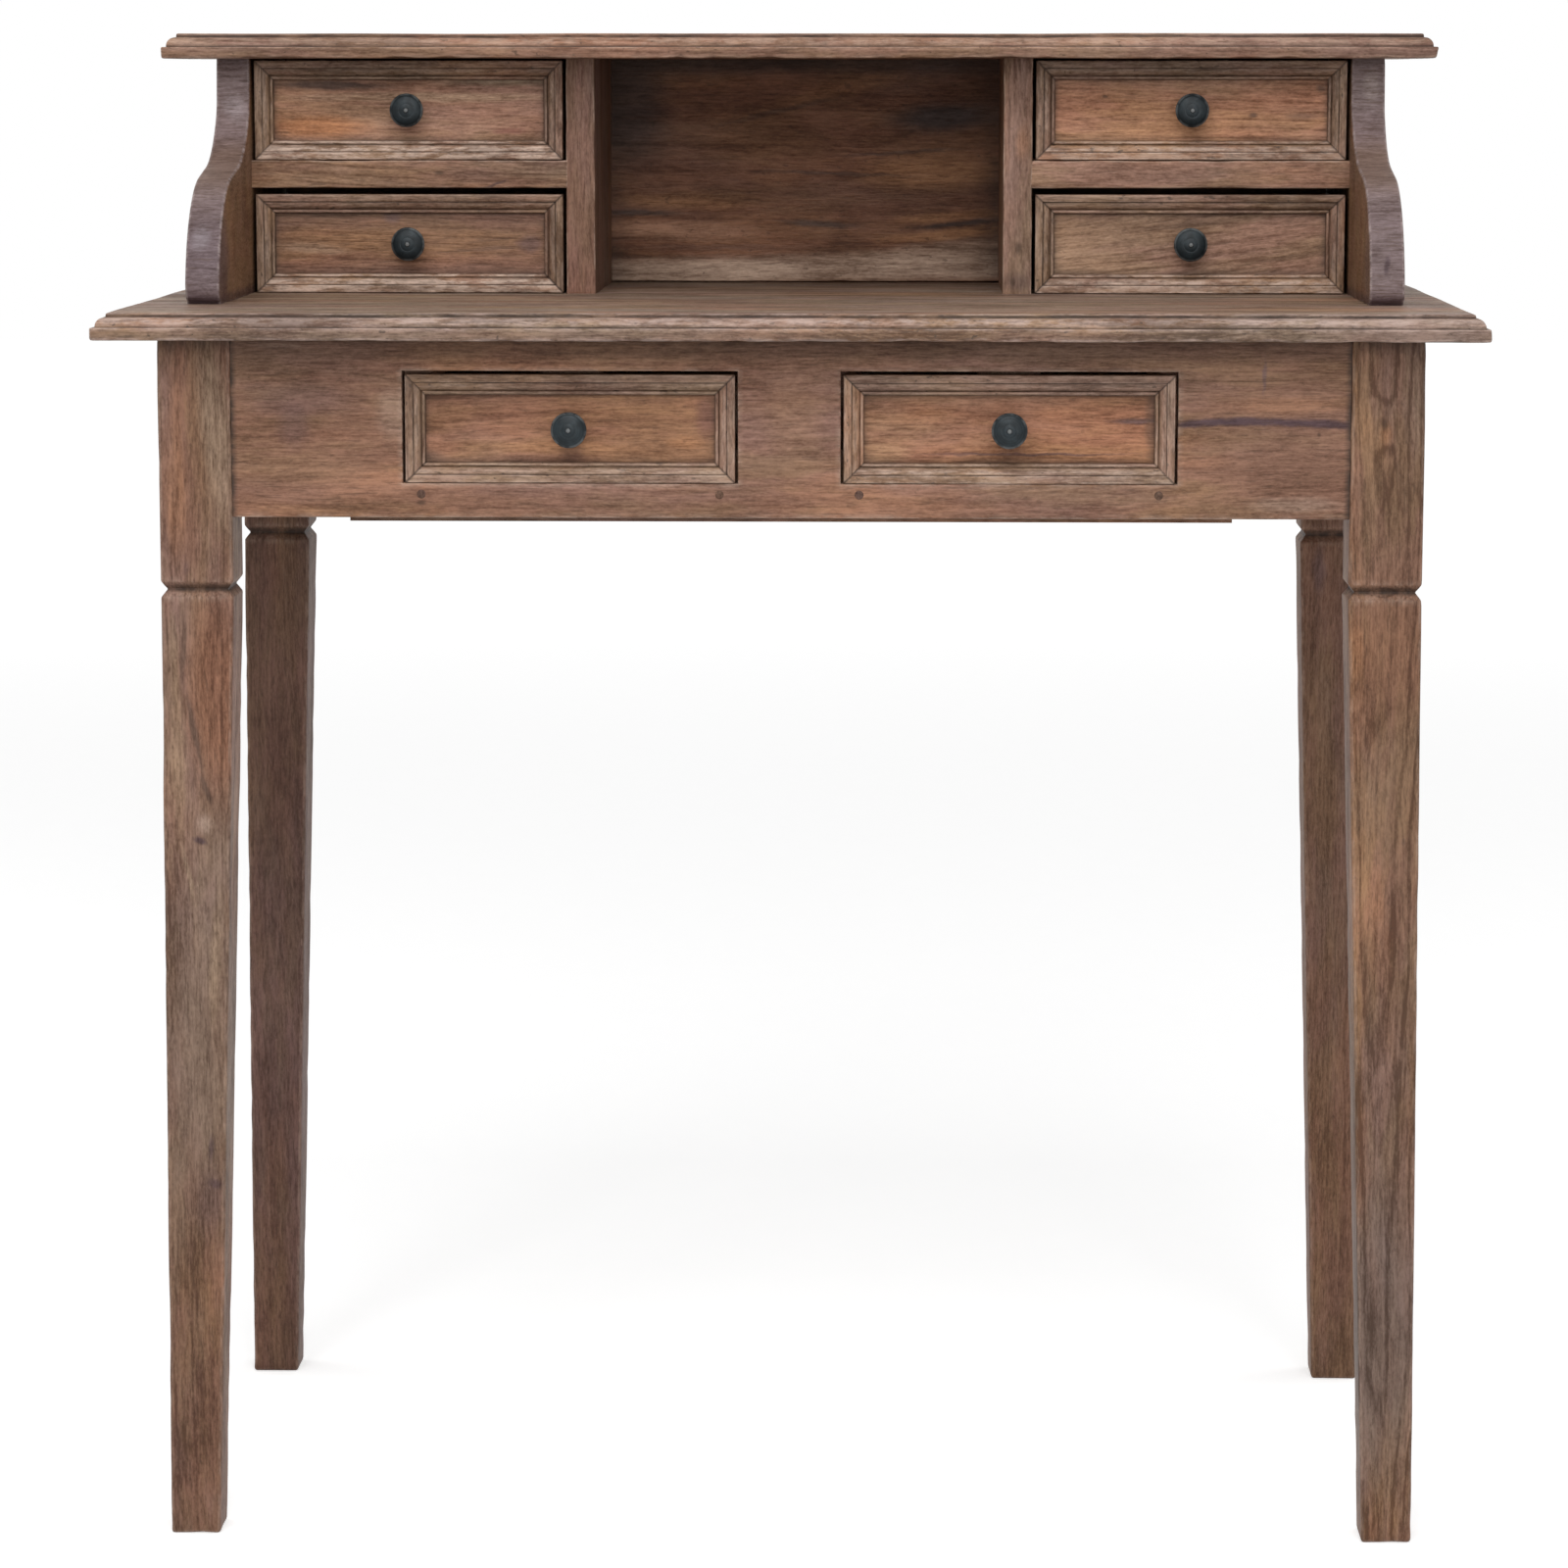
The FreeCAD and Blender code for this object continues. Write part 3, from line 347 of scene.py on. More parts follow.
def front_apron(timber):
    """The board with two drawer openings: two height fields joined by walls.

    A point at distance d from an edge lies r - sqrt(r^2 - (r - d)^2) behind the face, for d under
    r. The board is darkened with painted shade under the desk top's overhang and beside the legs."""
    low, high = box("front_apron")
    low[0], high[0] = -LEG_INNER * MM, LEG_INNER * MM
    half_opening, sill, head = 107 * MM, 694.5 * MM, 766 * MM
    r, lip = 1.3 * MM, 4 * MM
    steps = np.array([0, 0.12, 0.4, 1, lip / r]) * r
    middles = [side * DESK_DRAWER * MM for _, side in HANDS]
    holes = [(middle - half_opening, middle + half_opening, sill, head) for middle in middles]

    def lines(*places):
        return np.unique(np.round(chain(*places), 7))

    xs = lines(low[0] + steps, high[0] - steps, np.arange(-348, 349, 12) * MM,
               *(hole[0] - steps for hole in holes), *(hole[1] + steps for hole in holes))
    zs = lines(low[2] + steps, high[2] - steps, sill - steps, head + steps,
               np.linspace(low[2] + 0.006, high[2] - 0.006, 10))
    x, z = np.meshgrid(xs, zs, indexing="ij")
    middle_x, middle_z = (x[:-1, :-1] + x[1:, 1:]) / 2, (z[:-1, :-1] + z[1:, 1:]) / 2
    gap = np.minimum(z - low[2], high[2] - z)
    solid = np.ones(middle_x.shape, bool)
    for x0, x1, z0, z1 in holes:
        beside, above = np.maximum(x0 - x, x - x1), np.maximum(z0 - z, z - z1)
        gap = np.minimum(gap, np.hypot(np.clip(beside, 0, None), np.clip(above, 0, None)))
        solid &= (middle_x < x0) | (middle_x > x1) | (middle_z < z0) | (middle_z > z1)
    drop = r - r * np.sqrt(1 - fade(gap, r) ** 2)
    edge = np.clip(1.15 - gap / (1.3 * r), 0, 1)
    flat = np.stack([x, x * 0, z], -1)
    chips = np.clip(smooth_noise(flat, 41, 0.03), 0, 1) * fade(gap, lip) * 0.5 * MM
    swell = (0.5 + 0.5 * np.clip(smooth_noise(flat, 42, 0.14), -1, 1)) * 0.2 * MM
    front = np.stack([x, low[1] + drop + chips + swell, z], -1)
    back = np.stack([x, high[1] - drop, z], -1)
    beside_leg = np.minimum(x - low[0], high[0] - x)
    # Painted shade: darker under the desk top's overhang and in a thin line beside each leg.
    painted_shade = np.maximum(fade(high[2] - z, 9 * MM) * 0.6, np.clip(1.2 - beside_leg / (3 * MM), 0, 1))
    sheets = [sheet(front, edge * (1 - painted_shade), painted_shade, keep=solid), sheet(back, edge, keep=solid)]

    def wall(*line):
        """The board's thickness along one line of grid points."""
        return sheet(np.stack([front[line], back[line]]), np.stack([edge[line], edge[line]]))

    for x0, x1, z0, z1 in [(low[0], high[0], low[2], high[2]), *holes]:
        a, b = np.abs(xs - x0).argmin(), np.abs(xs - x1).argmin()
        c, d = np.abs(zs - z0).argmin(), np.abs(zs - z1).argmin()
        across, up = slice(a, b + 1), slice(c, d + 1)
        sheets += [wall(across, c), wall(across, d), wall(a, up), wall(b, up)]
    skin("front_apron_worn", sheets, timber, CARCASS, "front_apron")


def bracket(hand, timber, seed):
    """A scrolled side: the outline in the YZ plane, stepped in along a rounded edge on both cheeks.

    The front edge is a straight neck, a hollow arc, a slope, a belly arc and a small round toe,
    evened out by a running mean. Each outline point moves in along its normal by the edge's inset.
    Top and foot go a little way into the boards above and below."""
    node = f"{hand}_bracket"
    low, high = box(node)
    face, foot, top, back = HUTCH_FACE * MM, low[2], high[2], high[1]

    def at(reach, height):
        return np.array([face - reach * MM, foot + height * MM])

    toe, shoulder, slope, neck = at(163, 8), at(98, 81), at(61, 87.5), at(6, 126)
    curve = chain(arc(at(155, 0), toe, 2.3 * MM, 9)[:-1], arc(toe, shoulder, 15.5 * MM, 40)[:-1],
                  np.linspace(shoulder, slope, 12)[:-1], arc(slope, neck, -7.2 * MM, 30)[:-1],
                  np.linspace(neck, at(3, 159), 18))
    length = chain([0], np.cumsum(np.linalg.norm(np.diff(curve, axis=0), axis=1)))
    steps = np.linspace(0, length[-1], 150)
    curve = np.stack([np.interp(steps, length, curve[:, axis]) for axis in (0, 1)], 1)
    padded = np.pad(curve, ((3, 3), (0, 0)), mode="reflect", reflect_type="odd")
    mean = np.full(7, 1 / 7)
    curve = np.stack([np.convolve(padded[:, axis], mean, "valid") for axis in (0, 1)], 1)
    curve[:, 1] = np.clip(curve[:, 1], foot, top)
    flat, rise = np.linspace(0, 1, 30)[1:, None], np.linspace(0, 1, 18)[1:, None]
    head, heel = np.array([back, top]), np.array([back, foot])
    outline = chain(curve, curve[-1] + (head - curve[-1]) * flat, head + (heel - head) * rise,
                    (heel + (curve[0] - heel) * flat)[:-1])
    level, near = outline[:, 1], 0.05 * MM
    level += 2 * MM * (level > top - near) - 1.5 * MM * (level < foot + near)
    before, after = unit(outline - np.roll(outline, 1, 0)), unit(np.roll(outline, -1, 0) - outline)
    inward = before + after
    inward = unit(np.stack([inward[:, 1], -inward[:, 0]], 1))
    square = np.clip((before * after).sum(1), -1, 1)
    inward /= np.sqrt((1 + square) / 2)[:, None]
    inset, height, arris = (part[1:-1] for part in eased(high[0] - low[0], 2.0 * MM, 0.0))
    loop = outline[None] + inward[None] * inset[:, None, None]
    loop = np.concatenate([loop, loop[:, :1]], 1)
    points = np.concatenate([loop[..., :1] * 0 + (low[0] + height)[:, None, None], loop], -1)
    points = worn(points, low, high, seed, 0.004, 0.0008, 0.0003)
    rows, count = points.shape[:2]
    cheek = np.arange(count - 1)
    face_on = np.minimum(height, height.max() + height.min() - height) > 0.5 * MM
    fore = (np.arange(count) < len(curve)) | (np.arange(count) == count - 1)
    rim = sheet(points, arris[:, None], tint=face_on[:, None] * fore)
    skin(node + "_worn", [rim], timber, CARCASS, node, loops=(cheek, (rows - 1) * count + cheek))


def moulding_section():
    """Flat outer band, quirk, ovolo falling inwards and a small bead, all as one closed section.

    Gives how far in from the outer edge, how far behind the face, arris and hollow."""
    ovolo = arc((5.35, 0.75), (10.3, 3.15), -0.75, 8)
    bead = arc((10.5, 2.75), (12.95, 3.1), -1.0, 7)
    inset = chain([0, 0, 0.12, 0.6, 1.6, 4.0, 4.8, 5.15, 5.25], ovolo[:, 0], [10.42], bead[:, 0],
                  [13, 13])
    depth = chain([5, 1.7, 0.6, 0.12, 0, 0, 0.12, 0.5, 1.0], ovolo[:, 1], [3.25], bead[:, 1],
                  [3.7, 5])
    arris = chain([0, 0.2, 1, 1, 0.4, 0.3, 1, 0.6, 0], [0, 0.5, 0.8, 0.6, 0.4, 0.2, 0, 0], [0],
                  [0, 0.3, 0.6, 0.6, 0.3, 0, 0], [0, 0])
    # Darkening in the section's quirks and crevices: soiling and painted shade.
    hollow = chain([1, 0.3, 0, 0, 0, 0, 0.1, 0.8, 1], [0.8, 0, 0, 0, 0, 0, 0.3, 0.7], [0.7],
                   [0.5, 0.1, 0, 0, 0.2, 0.5, 0.9], [1, 1])
    return inset * MM, depth * MM, arris, hollow


def drawer_moulding(drawer, timber, seed, lower_strip_highlight_and_wear, painted_shade):
    """Four strips round a drawer front: the section carried along each side, cut at 45 degrees.

    A section point that lies d inside the outer edge runs from -(L / 2 - d) to L / 2 - d. The lower
    strip is the palest, by wear and a painted highlight, and the upper one the darkest, by painted
    shade."""
    node = drawer + "_moulding"
    low, high = box(node)
    middle = (low + high) / 2
    inset, depth, arris, hollow = moulding_section()
    # Each strip's painted shade, then its wear; the lower strip's wear also stands for a painted
    # highlight, which above 1 pales the whole strip, and the upper strip takes the most painted
    # shade.
    strips = ((0.0, lower_strip_highlight_and_wear), (0.15 * painted_shade, 0.6), (0.27 * painted_shade, 0.4), (0.16 * painted_shade, 0.6))
    sheets, loops, start = [], [], 0
    for quarter, (grime_and_shade, strip_highlight_and_wear) in enumerate(strips):
        length, gap = (high - low)[[0, 2]][::1 if quarter % 2 == 0 else -1]
        share = spaced(length, 0.007, 0.0015)[:, None] * 2 - 1
        along = share * (length / 2 - inset - 0.12 * MM)
        across = inset - gap / 2 + along * 0
        places = np.stack([along + middle[0] + quarter, across, depth + along * 0], -1)
        chips = smooth_noise(places * [1, 4, 4], seed + quarter, 0.05)
        chips = np.clip(chips, 0, 1) * arris * 0.45 * MM
        turn = quarter * pi / 2
        x = along * np.cos(turn) - across * np.sin(turn)
        z = along * np.sin(turn) + across * np.cos(turn)
        points = np.stack([middle[0] + x, low[1] + depth + chips, middle[2] + z], -1)
        points, places = (np.concatenate([grid, grid[:, :1]], 1) for grid in (points, places))
        ends = np.abs(share) > 0.9999
        # The section's crevices darken with soiling and painted shade, the mitre ends are dark
        # joints, and each strip adds its painted shade.
        shade_and_soil = np.maximum(np.append(hollow, hollow[0]), ends * 0.85) * (1 - grime_and_shade) + grime_and_shade
        worn_and_highlit = np.append(arris, arris[0]) * strip_highlight_and_wear + np.clip(strip_highlight_and_wear - 1, 0, 1)
        sheets.append(sheet(points, worn_and_highlit, shade_and_soil, places + [seed * 0.37, 0, 0]))
        rows, columns = points.shape[:2]
        mitre = start + np.arange(columns - 1)
        loops += [mitre, mitre + (rows - 1) * columns]
        start += rows * columns
    skin(drawer + "_moulding_worn", sheets, timber, drawer, node, loops=loops)


def drawer_panel(drawer, timber, seed):
    """The flat board behind the moulding, darkened along the moulding and most in the corners.

    darkening = the largest of (1 - gap / 5 mm)^2, 1 - (gap across + gap up) / 15 mm and, under the
    upper strip, 1 - gap / 11 mm, not under 0 and each with its own weight. The line along the
    moulding is soiling and painted shade, the corners soiling, and the band under the upper strip
    painted shadow."""
    node = drawer + "_front"
    low, high = box(node)
    middle, half = (low + high) / 2, (high - low) / 2 - 13 * MM

    def shade_and_soil(points):
        gap = np.clip(half - np.abs(points - middle), 0, None)[..., [0, 2]]
        # Painted shadow of the upper strip on the board below it.
        under = fade((half + middle - points)[..., 2], 11 * MM) * 0.45
        line = np.maximum(fade(gap.min(-1), 5 * MM) ** 2 * 0.75, under)
        corner = fade(gap.sum(-1), 15 * MM) * 0.7
        return np.maximum(line, corner) * (points[..., 1] < low[1] + 1 * MM)

    radius = 0.6 * MM
    inset, height, arris = eased(high[1] - low[1], radius, 0.002)
    tower(drawer + "_panel", (low[0], high[0], low[2], high[2]), inset, height + low[1], timber,
          drawer, node, (0, 2, 1), bend=radius, arris=arris, step=0.0035, seed=seed,
          wear=(0.003, 0.0, 0.00015), dirt_and_shade=shade_and_soil)


def back_panel(timber):
    """One thin board behind the bay, darkened with painted shade beside the dividers and under the
    shelf.

    Its rear half reaches down on to the desk top, its front half does not."""
    node, half_bay, radius = "hutch_back_panel", 139 * MM, 0.5 * MM
    low, high = box(node)
    inset, height, arris = eased(high[1] - low[1], radius, 0.002)
    foot = np.where(height > 0.006, low[2] - 4 * MM, low[2])

    # Painted shade of the bay, darker near the dividers and under the shelf.
    def shade_and_soil(points):
        gap = np.minimum(half_bay - np.abs(points[..., 0]), high[2] - points[..., 2])
        return fade(gap, 16 * MM) * 0.6

    tower("hutch_back_panel_board", (low[0], high[0], foot, high[2] + 3 * MM), inset,
          height + low[1], timber, CARCASS, node, (0, 2, 1), bend=radius, arris=arris, step=0.008,
          seed=85, dirt_and_shade=shade_and_soil)


def turned(name, node, finish, body, radius, depth, middles, around=56):
    """A profile turned round axes parallel to Y: x = r cos a, z = r sin a, closed on the axis.

    Its grain runs with the radius, for turning marks."""
    angle = np.linspace(0, 2 * pi, around + 1)
    angle[-1] = 0
    radius, depth = radius[:, None] + angle * 0, depth[:, None] + angle * 0
    rings = np.stack([radius, depth, radius * 0], -1)
    skin(name, [sheet(np.stack([middle[0] + radius * np.cos(angle), middle[1] + depth,
                                middle[2] + radius * np.sin(angle)], -1), grain=rings)
                for middle in middles], finish, body, node)


def knob(drawer, iron):
    """Turned mushroom knob: rose, waisted neck, round rim, low dome with a small nipple."""
    low, high = box(drawer + "_knob")
    rim = arc((10.2, 6.4), (10.2, 3.3), 1.25, 9)
    dome = arc((10.1, 3.15), (5.2, 1.5), 0.25, 8)
    crown = arc((4.7, 1.55), (1.75, 0.95), 0.12, 5)
    neck = arc((4.0, 17.0), (5.0, 11.2), -1.0, 9)
    radius = chain([0, 2, 2, 6.4, 7, 7, 6.7], neck[:, 0], [7.5], rim[:, 0], dome[:, 0],
                   crown[:, 0], [1.5, 1.3, 0.8, 0]) * MM
    depth = chain([30, 30, 21, 21, 20.6, 19.4, 19.0], neck[:, 1], [8.9], rim[:, 1], dome[:, 1],
                  crown[:, 1], [0.4, 0.12, 0, 0]) * MM
    middle = (low + high) / 2 * [1, 0, 1]
    turned(drawer + "_knob_iron", drawer + "_knob", iron, drawer, radius, low[1] + depth, [middle])


def pegs(timber):
    """Four round pegs with low domed heads that stand a hair proud of the apron."""
    low, high = box("apron_pegs")
    angle = np.linspace(0, pi / 2, 6)
    radius = chain(2.95 * MM * np.sin(angle), mm(3, 3, 0))
    depth = chain(0.5 * MM * (1 - np.cos(angle)) - 0.25 * MM, mm(0.5, 44, 44))
    middles = [((side * (DESK_DRAWER + way * 95.25)) * MM, low[1], (low[2] + high[2]) / 2)
               for _, side in HANDS for way in (1, -1)]
    turned("apron_pegs_round", "apron_pegs", timber, CARCASS, radius, depth, middles, around=24)


# -------- finishes

class Finish:
    """Shader nodes of a material or world, added one by one.

    An input may be a value or an output. A blend also takes tones: linear red, green and blue in
    thousandths."""

    def __init__(self, owner):
        owner.use_nodes = True
        self.owner = owner
        self.nodes, self.links = owner.node_tree.nodes, owner.node_tree.links
        self.nodes.clear()

    def add(self, kind, inputs, output=0, **settings):
        node = self.nodes.new("ShaderNode" + kind)
        for key, value in settings.items():
            setattr(node, key, value)
        for slot, value in inputs.items():
            if isinstance(value, bpy.types.NodeSocket):
                self.links.new(value, node.inputs[slot])
            else:
                node.inputs[slot].default_value = value
        return node.outputs[output]

    def attribute(self, name, output=2):
        return self.add("Attribute", {}, output, attribute_name=name)

    def math(self, operation, first, second=0.0, third=0.0):
        return self.add("Math", {0: first, 1: second, 2: third}, operation=operation)

    def times(self, first, second):
        return self.math("MULTIPLY", first, second)

    def vector(self, operation, first, second=(0, 0, 0), output=0):
        return self.add("VectorMath", {0: first, 1: second}, output, operation=operation)

    def noise(self, places, stretch, detail=3.0, roughness=0.55, output=0):
        scaled = self.vector("MULTIPLY", places, stretch)
        return self.add("TexNoise", {"Vector": scaled, "Scale": 1.0, "Detail": detail,
                                     "Roughness": roughness}, output)

    def spread(self, value, low, high, bottom=0.0, top=1.0, smooth=True):
        return self.add("MapRange", {"Value": value, 1: low, 2: high, 3: bottom, 4: top},
                        interpolation_type="SMOOTHSTEP" if smooth else "LINEAR")

    def blend(self, factor, first, second, way="MIX"):
        first, second = (tuple(part / 1000 for part in value) + (1.0,)
                         if isinstance(value, tuple) else value for value in (first, second))
        return self.add("Mix", {0: factor, 6: first, 7: second}, 2, data_type="RGBA",
                        blend_type=way)

    def seen(self):
        """1 for the camera and for what metal and glass show, 0 for other light."""
        path = self.add("LightPath", {}).node.outputs
        mirrored = self.math("MAXIMUM", path["Is Glossy Ray"], path["Is Transmission Ray"])
        return self.math("MAXIMUM", path["Is Camera Ray"], mirrored)

    def close(self, shader, kind="OutputMaterial"):
        self.links.new(shader, self.nodes.new("ShaderNode" + kind).inputs[0])
        return self.owner


TURNS = {"x": (0, 0, 0), "y": (0, 0, -pi / 2), "z": (pi / 2, 0, pi / 2)}
ANY = 9000  # a reach that takes in the whole desk
# Dark tone for hollows and shaded places: soiling and painted shade.
DIRT_AND_SHADE = (30, 19, 14)
HALF = (0.5, 0.5, 0.5)
# Cells of noise to a metre, along, across and through the grain.
SWAY, SHOWN, TINTS, WANDER = (2.6, 12, 12), (3, 11, 11), (3.5, 15, 15), (5, 70, 70)
CAST, CLOUDS, GRIME_AND_SHADE, RUBBING = (9, 44, 44), (10, 40, 40), (30, 110, 110), (52, 170, 170)
RAGS, PORES, FLECKS = (60, 130, 130), (60, 700, 700), (90, 600, 600)
FIBRES, PITS, MOTTLE = (16, 520, 520), (170, 300, 300), (360, 760, 760)


def shade(tone, factor):
    """A tone made darker or lighter."""
    return tuple(part * factor for part in tone)


def growth(f, cut, g, pith, tilt, spacing, knots):
    """The growth rings, 0 on their dark lines and 1 between them, and the eyes of the knots.

    radius = distance from a slightly tilted pith, pushed out near each knot. A line lies where
    radius / spacing, which wanders by noise, is a whole number."""
    along, across, deep = f.add("SeparateXYZ", {0: cut}).node.outputs
    side = f.math("MULTIPLY_ADD", along, tilt[0], f.math("SUBTRACT", across, pith[0]))
    under = f.math("MULTIPLY_ADD", along, tilt[1], f.math("SUBTRACT", deep, pith[1]))
    squares = f.math("ADD", f.times(side, side), f.times(under, under))
    radius, eyes = f.math("SQRT", squares), None
    for where, run, size, push in knots:
        away = f.vector("MULTIPLY", f.vector("SUBTRACT", cut, tuple(c * MM for c in where)), run)
        away = f.vector("LENGTH", away, output=1)
        radius = f.math("ADD", radius, f.spread(away, 0.0, size * 4 * MM, push * MM, 0.0))
        eye = f.spread(away, size * 0.2 * MM, size * MM, 1.0, 0.0)
        eyes = eye if eyes is None else f.math("MAXIMUM", eyes, eye)
    wander = f.noise(g, WANDER, 3.0, 0.6)
    phase = f.math("MULTIPLY_ADD", wander, 1.4, f.math("DIVIDE", radius, spacing))
    return f.spread(f.math("PINGPONG", phase, 0.5), 0.0, 0.22), eyes


def wood(board, grain, tone, seed, fibre=1.0, cloud=1.0, figure=0.4, pith=(0.05, 0.06),
         tilt=(0.01, 0.02), spacing=0.006, lean=0.0, cool=0.4, cool_tone=(190, 135, 115),
         warm=0.4, warm_tone=(330, 155, 72), knots=(), marks=(), wear=0.8,
         wear_tone=(380, 270, 210), rough=0.55, stretch=FIBRES, face_tone=None, pits=0.25):
    """Waxed hardwood, cut along the grain axis, or along the piece's own grain where that is None.

    g is the place along, across and through the grain, swayed by slow noise. The figure is long
    fibres, short flecks, a fine mottle, clouds and growth rings. The tone takes warm and cool
    patches, a cast of olive or plum, another tone on tinted faces, and marks, some of them painted
    shade and painted highlights. It is darkened or lightened by the figure, and then takes pores,
    pits, pale worn arrises, which on the lower moulding strips are also a painted highlight, and a
    dark tone in hollows and shaded places, which is soiling and painted shade."""
    f = Finish(bpy.data.materials.new(board + "_wood"))
    if grain is None:
        places = cut = f.attribute("grain", 1)
    else:
        places = f.add("TexCoord", {}, 3)
        cut = f.add("Mapping", {0: places, 2: tuple(np.add(TURNS[grain], (0, radians(lean), 0)))})
    shifted = f.vector("ADD", cut, (seed * 1.37, seed * 0.61, seed * 0.23))
    sway = f.vector("SUBTRACT", f.noise(shifted, SWAY, 2.0, 0.5, 1), HALF)
    sway = f.vector("MULTIPLY", sway, (0.0, 0.016, 0.016))
    g, cut = f.vector("ADD", shifted, sway), f.vector("ADD", cut, sway)

    ring, eyes = growth(f, cut, g, pith, tilt, spacing, knots)
    shown = f.spread(f.noise(g, SHOWN, 2.0, 0.5), 0.38, 0.6, 0.15, 1.0)
    value = 0.5
    for size, detail, weight in ((stretch, 3.0, 0.6 * fibre), (FLECKS, 2.0, 0.95 * fibre),
                                 (MOTTLE, 2.0, 0.55 * fibre), (CLOUDS, 4.0, 1.0 * cloud)):
        layer = f.math("SUBTRACT", f.noise(g, size, detail, 0.62), 0.5)
        value = f.math("MULTIPLY_ADD", layer, weight, value)
    ring = f.times(f.math("SUBTRACT", ring, 0.8), shown)
    value = f.math("MULTIPLY_ADD", ring, 0.5 * figure, value)

    first, second, _ = f.add("SeparateXYZ", {0: f.noise(g, TINTS, 4.0, 0.62, 1)}).node.outputs
    colour = f.blend(f.times(f.spread(first, 0.46, 0.66), warm), tone, warm_tone)
    colour = f.blend(f.times(f.spread(second, 0.44, 0.66), cool), colour, cool_tone)
    cast = f.spread(f.noise(g, CAST, 3.0, 0.65), 0.38, 0.62)
    cast = f.blend(cast, (985, 1020, 955), (1015, 972, 1030))
    colour = f.blend(1.0, colour, cast, "MULTIPLY")
    ragged = f.vector("SUBTRACT", f.noise(g, RAGS, 3.0, 0.6, 1), HALF)
    ragged = f.vector("ADD", places, f.vector("MULTIPLY", ragged, (0.005, 0.005, 0.005)))
    if face_tone is not None:
        colour = f.blend(f.times(f.attribute("tint"), 0.85), colour, face_tone)
    for centre, reach, turn, mark_tone, strength in marks:
        spot = f.add("Mapping", {0: ragged, 1: tuple(c * MM for c in centre),
                                 2: (0, radians(turn), 0), 3: tuple(r * MM for r in reach)},
                     vector_type="TEXTURE")
        spot = f.spread(f.vector("LENGTH", spot, output=1), 0.25, 1.0, strength, 0.0)
        colour = f.blend(spot, colour, mark_tone)

    depth = f.spread(value, 0.15, 0.85, smooth=False)
    depth = f.blend(depth, (500, 450, 420), (1450, 1520, 1580))
    colour = f.blend(1.0, colour, depth, "MULTIPLY")
    if eyes is not None:
        colour = f.blend(f.times(eyes, 0.75), colour, shade(tone, 0.3))
    pores = f.spread(f.noise(g, PORES, 2.0, 0.5), 0.59, 0.68)
    colour = f.blend(f.times(pores, 0.4), colour, shade(tone, 0.35))
    specks = f.spread(f.noise(g, PITS, 2.0, 0.5), 0.66, 0.72)
    colour = f.blend(f.times(specks, pits), colour, shade(tone, 0.25))
    patchy = f.spread(f.noise(g, RUBBING, 4.0, 0.7), 0.4, 0.6, 0.1, 1.0)
    # Worn arrises; on the lower moulding strips they also carry a painted highlight.
    worn_and_highlit = f.times(f.times(f.attribute("edge"), patchy), wear)
    bare = f.blend(f.spread(value, 0.2, 0.8), shade(wear_tone, 0.7), shade(wear_tone, 1.2))
    colour = f.blend(worn_and_highlit, colour, bare)
    # Dark tone in hollows and shaded places: soiling and painted shade, in patches.
    grime_and_shade = f.spread(f.noise(g, GRIME_AND_SHADE, 3.0, 0.6), 0.3, 0.62, 0.45, 0.95)
    colour = f.blend(f.times(f.attribute("hollow"), grime_and_shade), colour, DIRT_AND_SHADE)

    height = f.math("MULTIPLY_ADD", pores, -0.4, value)
    bump = f.add("Bump", {"Strength": 0.4, "Distance": 0.0006, "Height": height})
    gloss = f.spread(value, 0.1, 0.9, rough + 0.08, rough - 0.08)
    return f.close(f.add("BsdfPrincipled", {"Base Color": colour, "Roughness": gloss,
                                            "Normal": bump, "Specular IOR Level": 0.2}))


def gunmetal(name):
    """Blackened iron with fine turning rings, a painted highlight on the nipple and worn paler
    along the rim.
    """
    f = Finish(bpy.data.materials.new(name))
    cloud = f.noise(f.add("TexCoord", {}, 3), (160, 160, 160))
    turned_at = f.attribute("grain", 1)
    rings = f.noise(turned_at, (1300, 1300, 0), 2.0, 0.5)
    radius = f.add("SeparateXYZ", {0: turned_at}, 0)
    mixed = f.math("MULTIPLY_ADD", f.math("SUBTRACT", rings, 0.5), 0.5, cloud)
    colour = f.blend(f.spread(mixed, 0.3, 0.75), (4, 7, 8.8), (13, 20, 24))
    # Painted highlight on the nipple.
    painted_tip_highlight = f.spread(radius, 0.9 * MM, 1.9 * MM, 0.9, 0.0)
    rim = f.spread(radius, 9.6 * MM, 10.9 * MM)
    rim = f.times(rim, f.spread(cloud, 0.42, 0.62, 0.1, 0.7))
    colour = f.blend(f.math("MAXIMUM", painted_tip_highlight, rim), colour, (120, 125, 125))
    gloss = f.spread(mixed, 0.3, 0.7, 0.48, 0.38)
    bump = f.add("Bump", {"Strength": 0.35, "Distance": 0.0003, "Height": rings})
    return f.close(f.add("BsdfPrincipled", {
        "Base Color": colour, "Metallic": 0.2, "Roughness": gloss, "Normal": bump,
        "Specular IOR Level": 0.28}))


def on_face(y, *marks, deep=ANY):
    """Marks on an upright face: centre x and z, reach in x and z, turn, tone and strength."""
    return [((x, y, z), (wide, deep, high), turn, tone, strength)
            for x, z, wide, high, turn, tone, strength in marks]


# -------- the desk

PURPLE, BROWN, ORANGE = (105, 62, 60), (115, 62, 40), (340, 155, 70)
PALE, OLIVE, CRACK = (330, 230, 175), (190, 125, 75), (50, 27, 32)
DUSK, FLAME, UMBER = (50, 26, 18), (330, 150, 62), (85, 47, 32)
HIDDEN_APRON = (190, 105, 70)

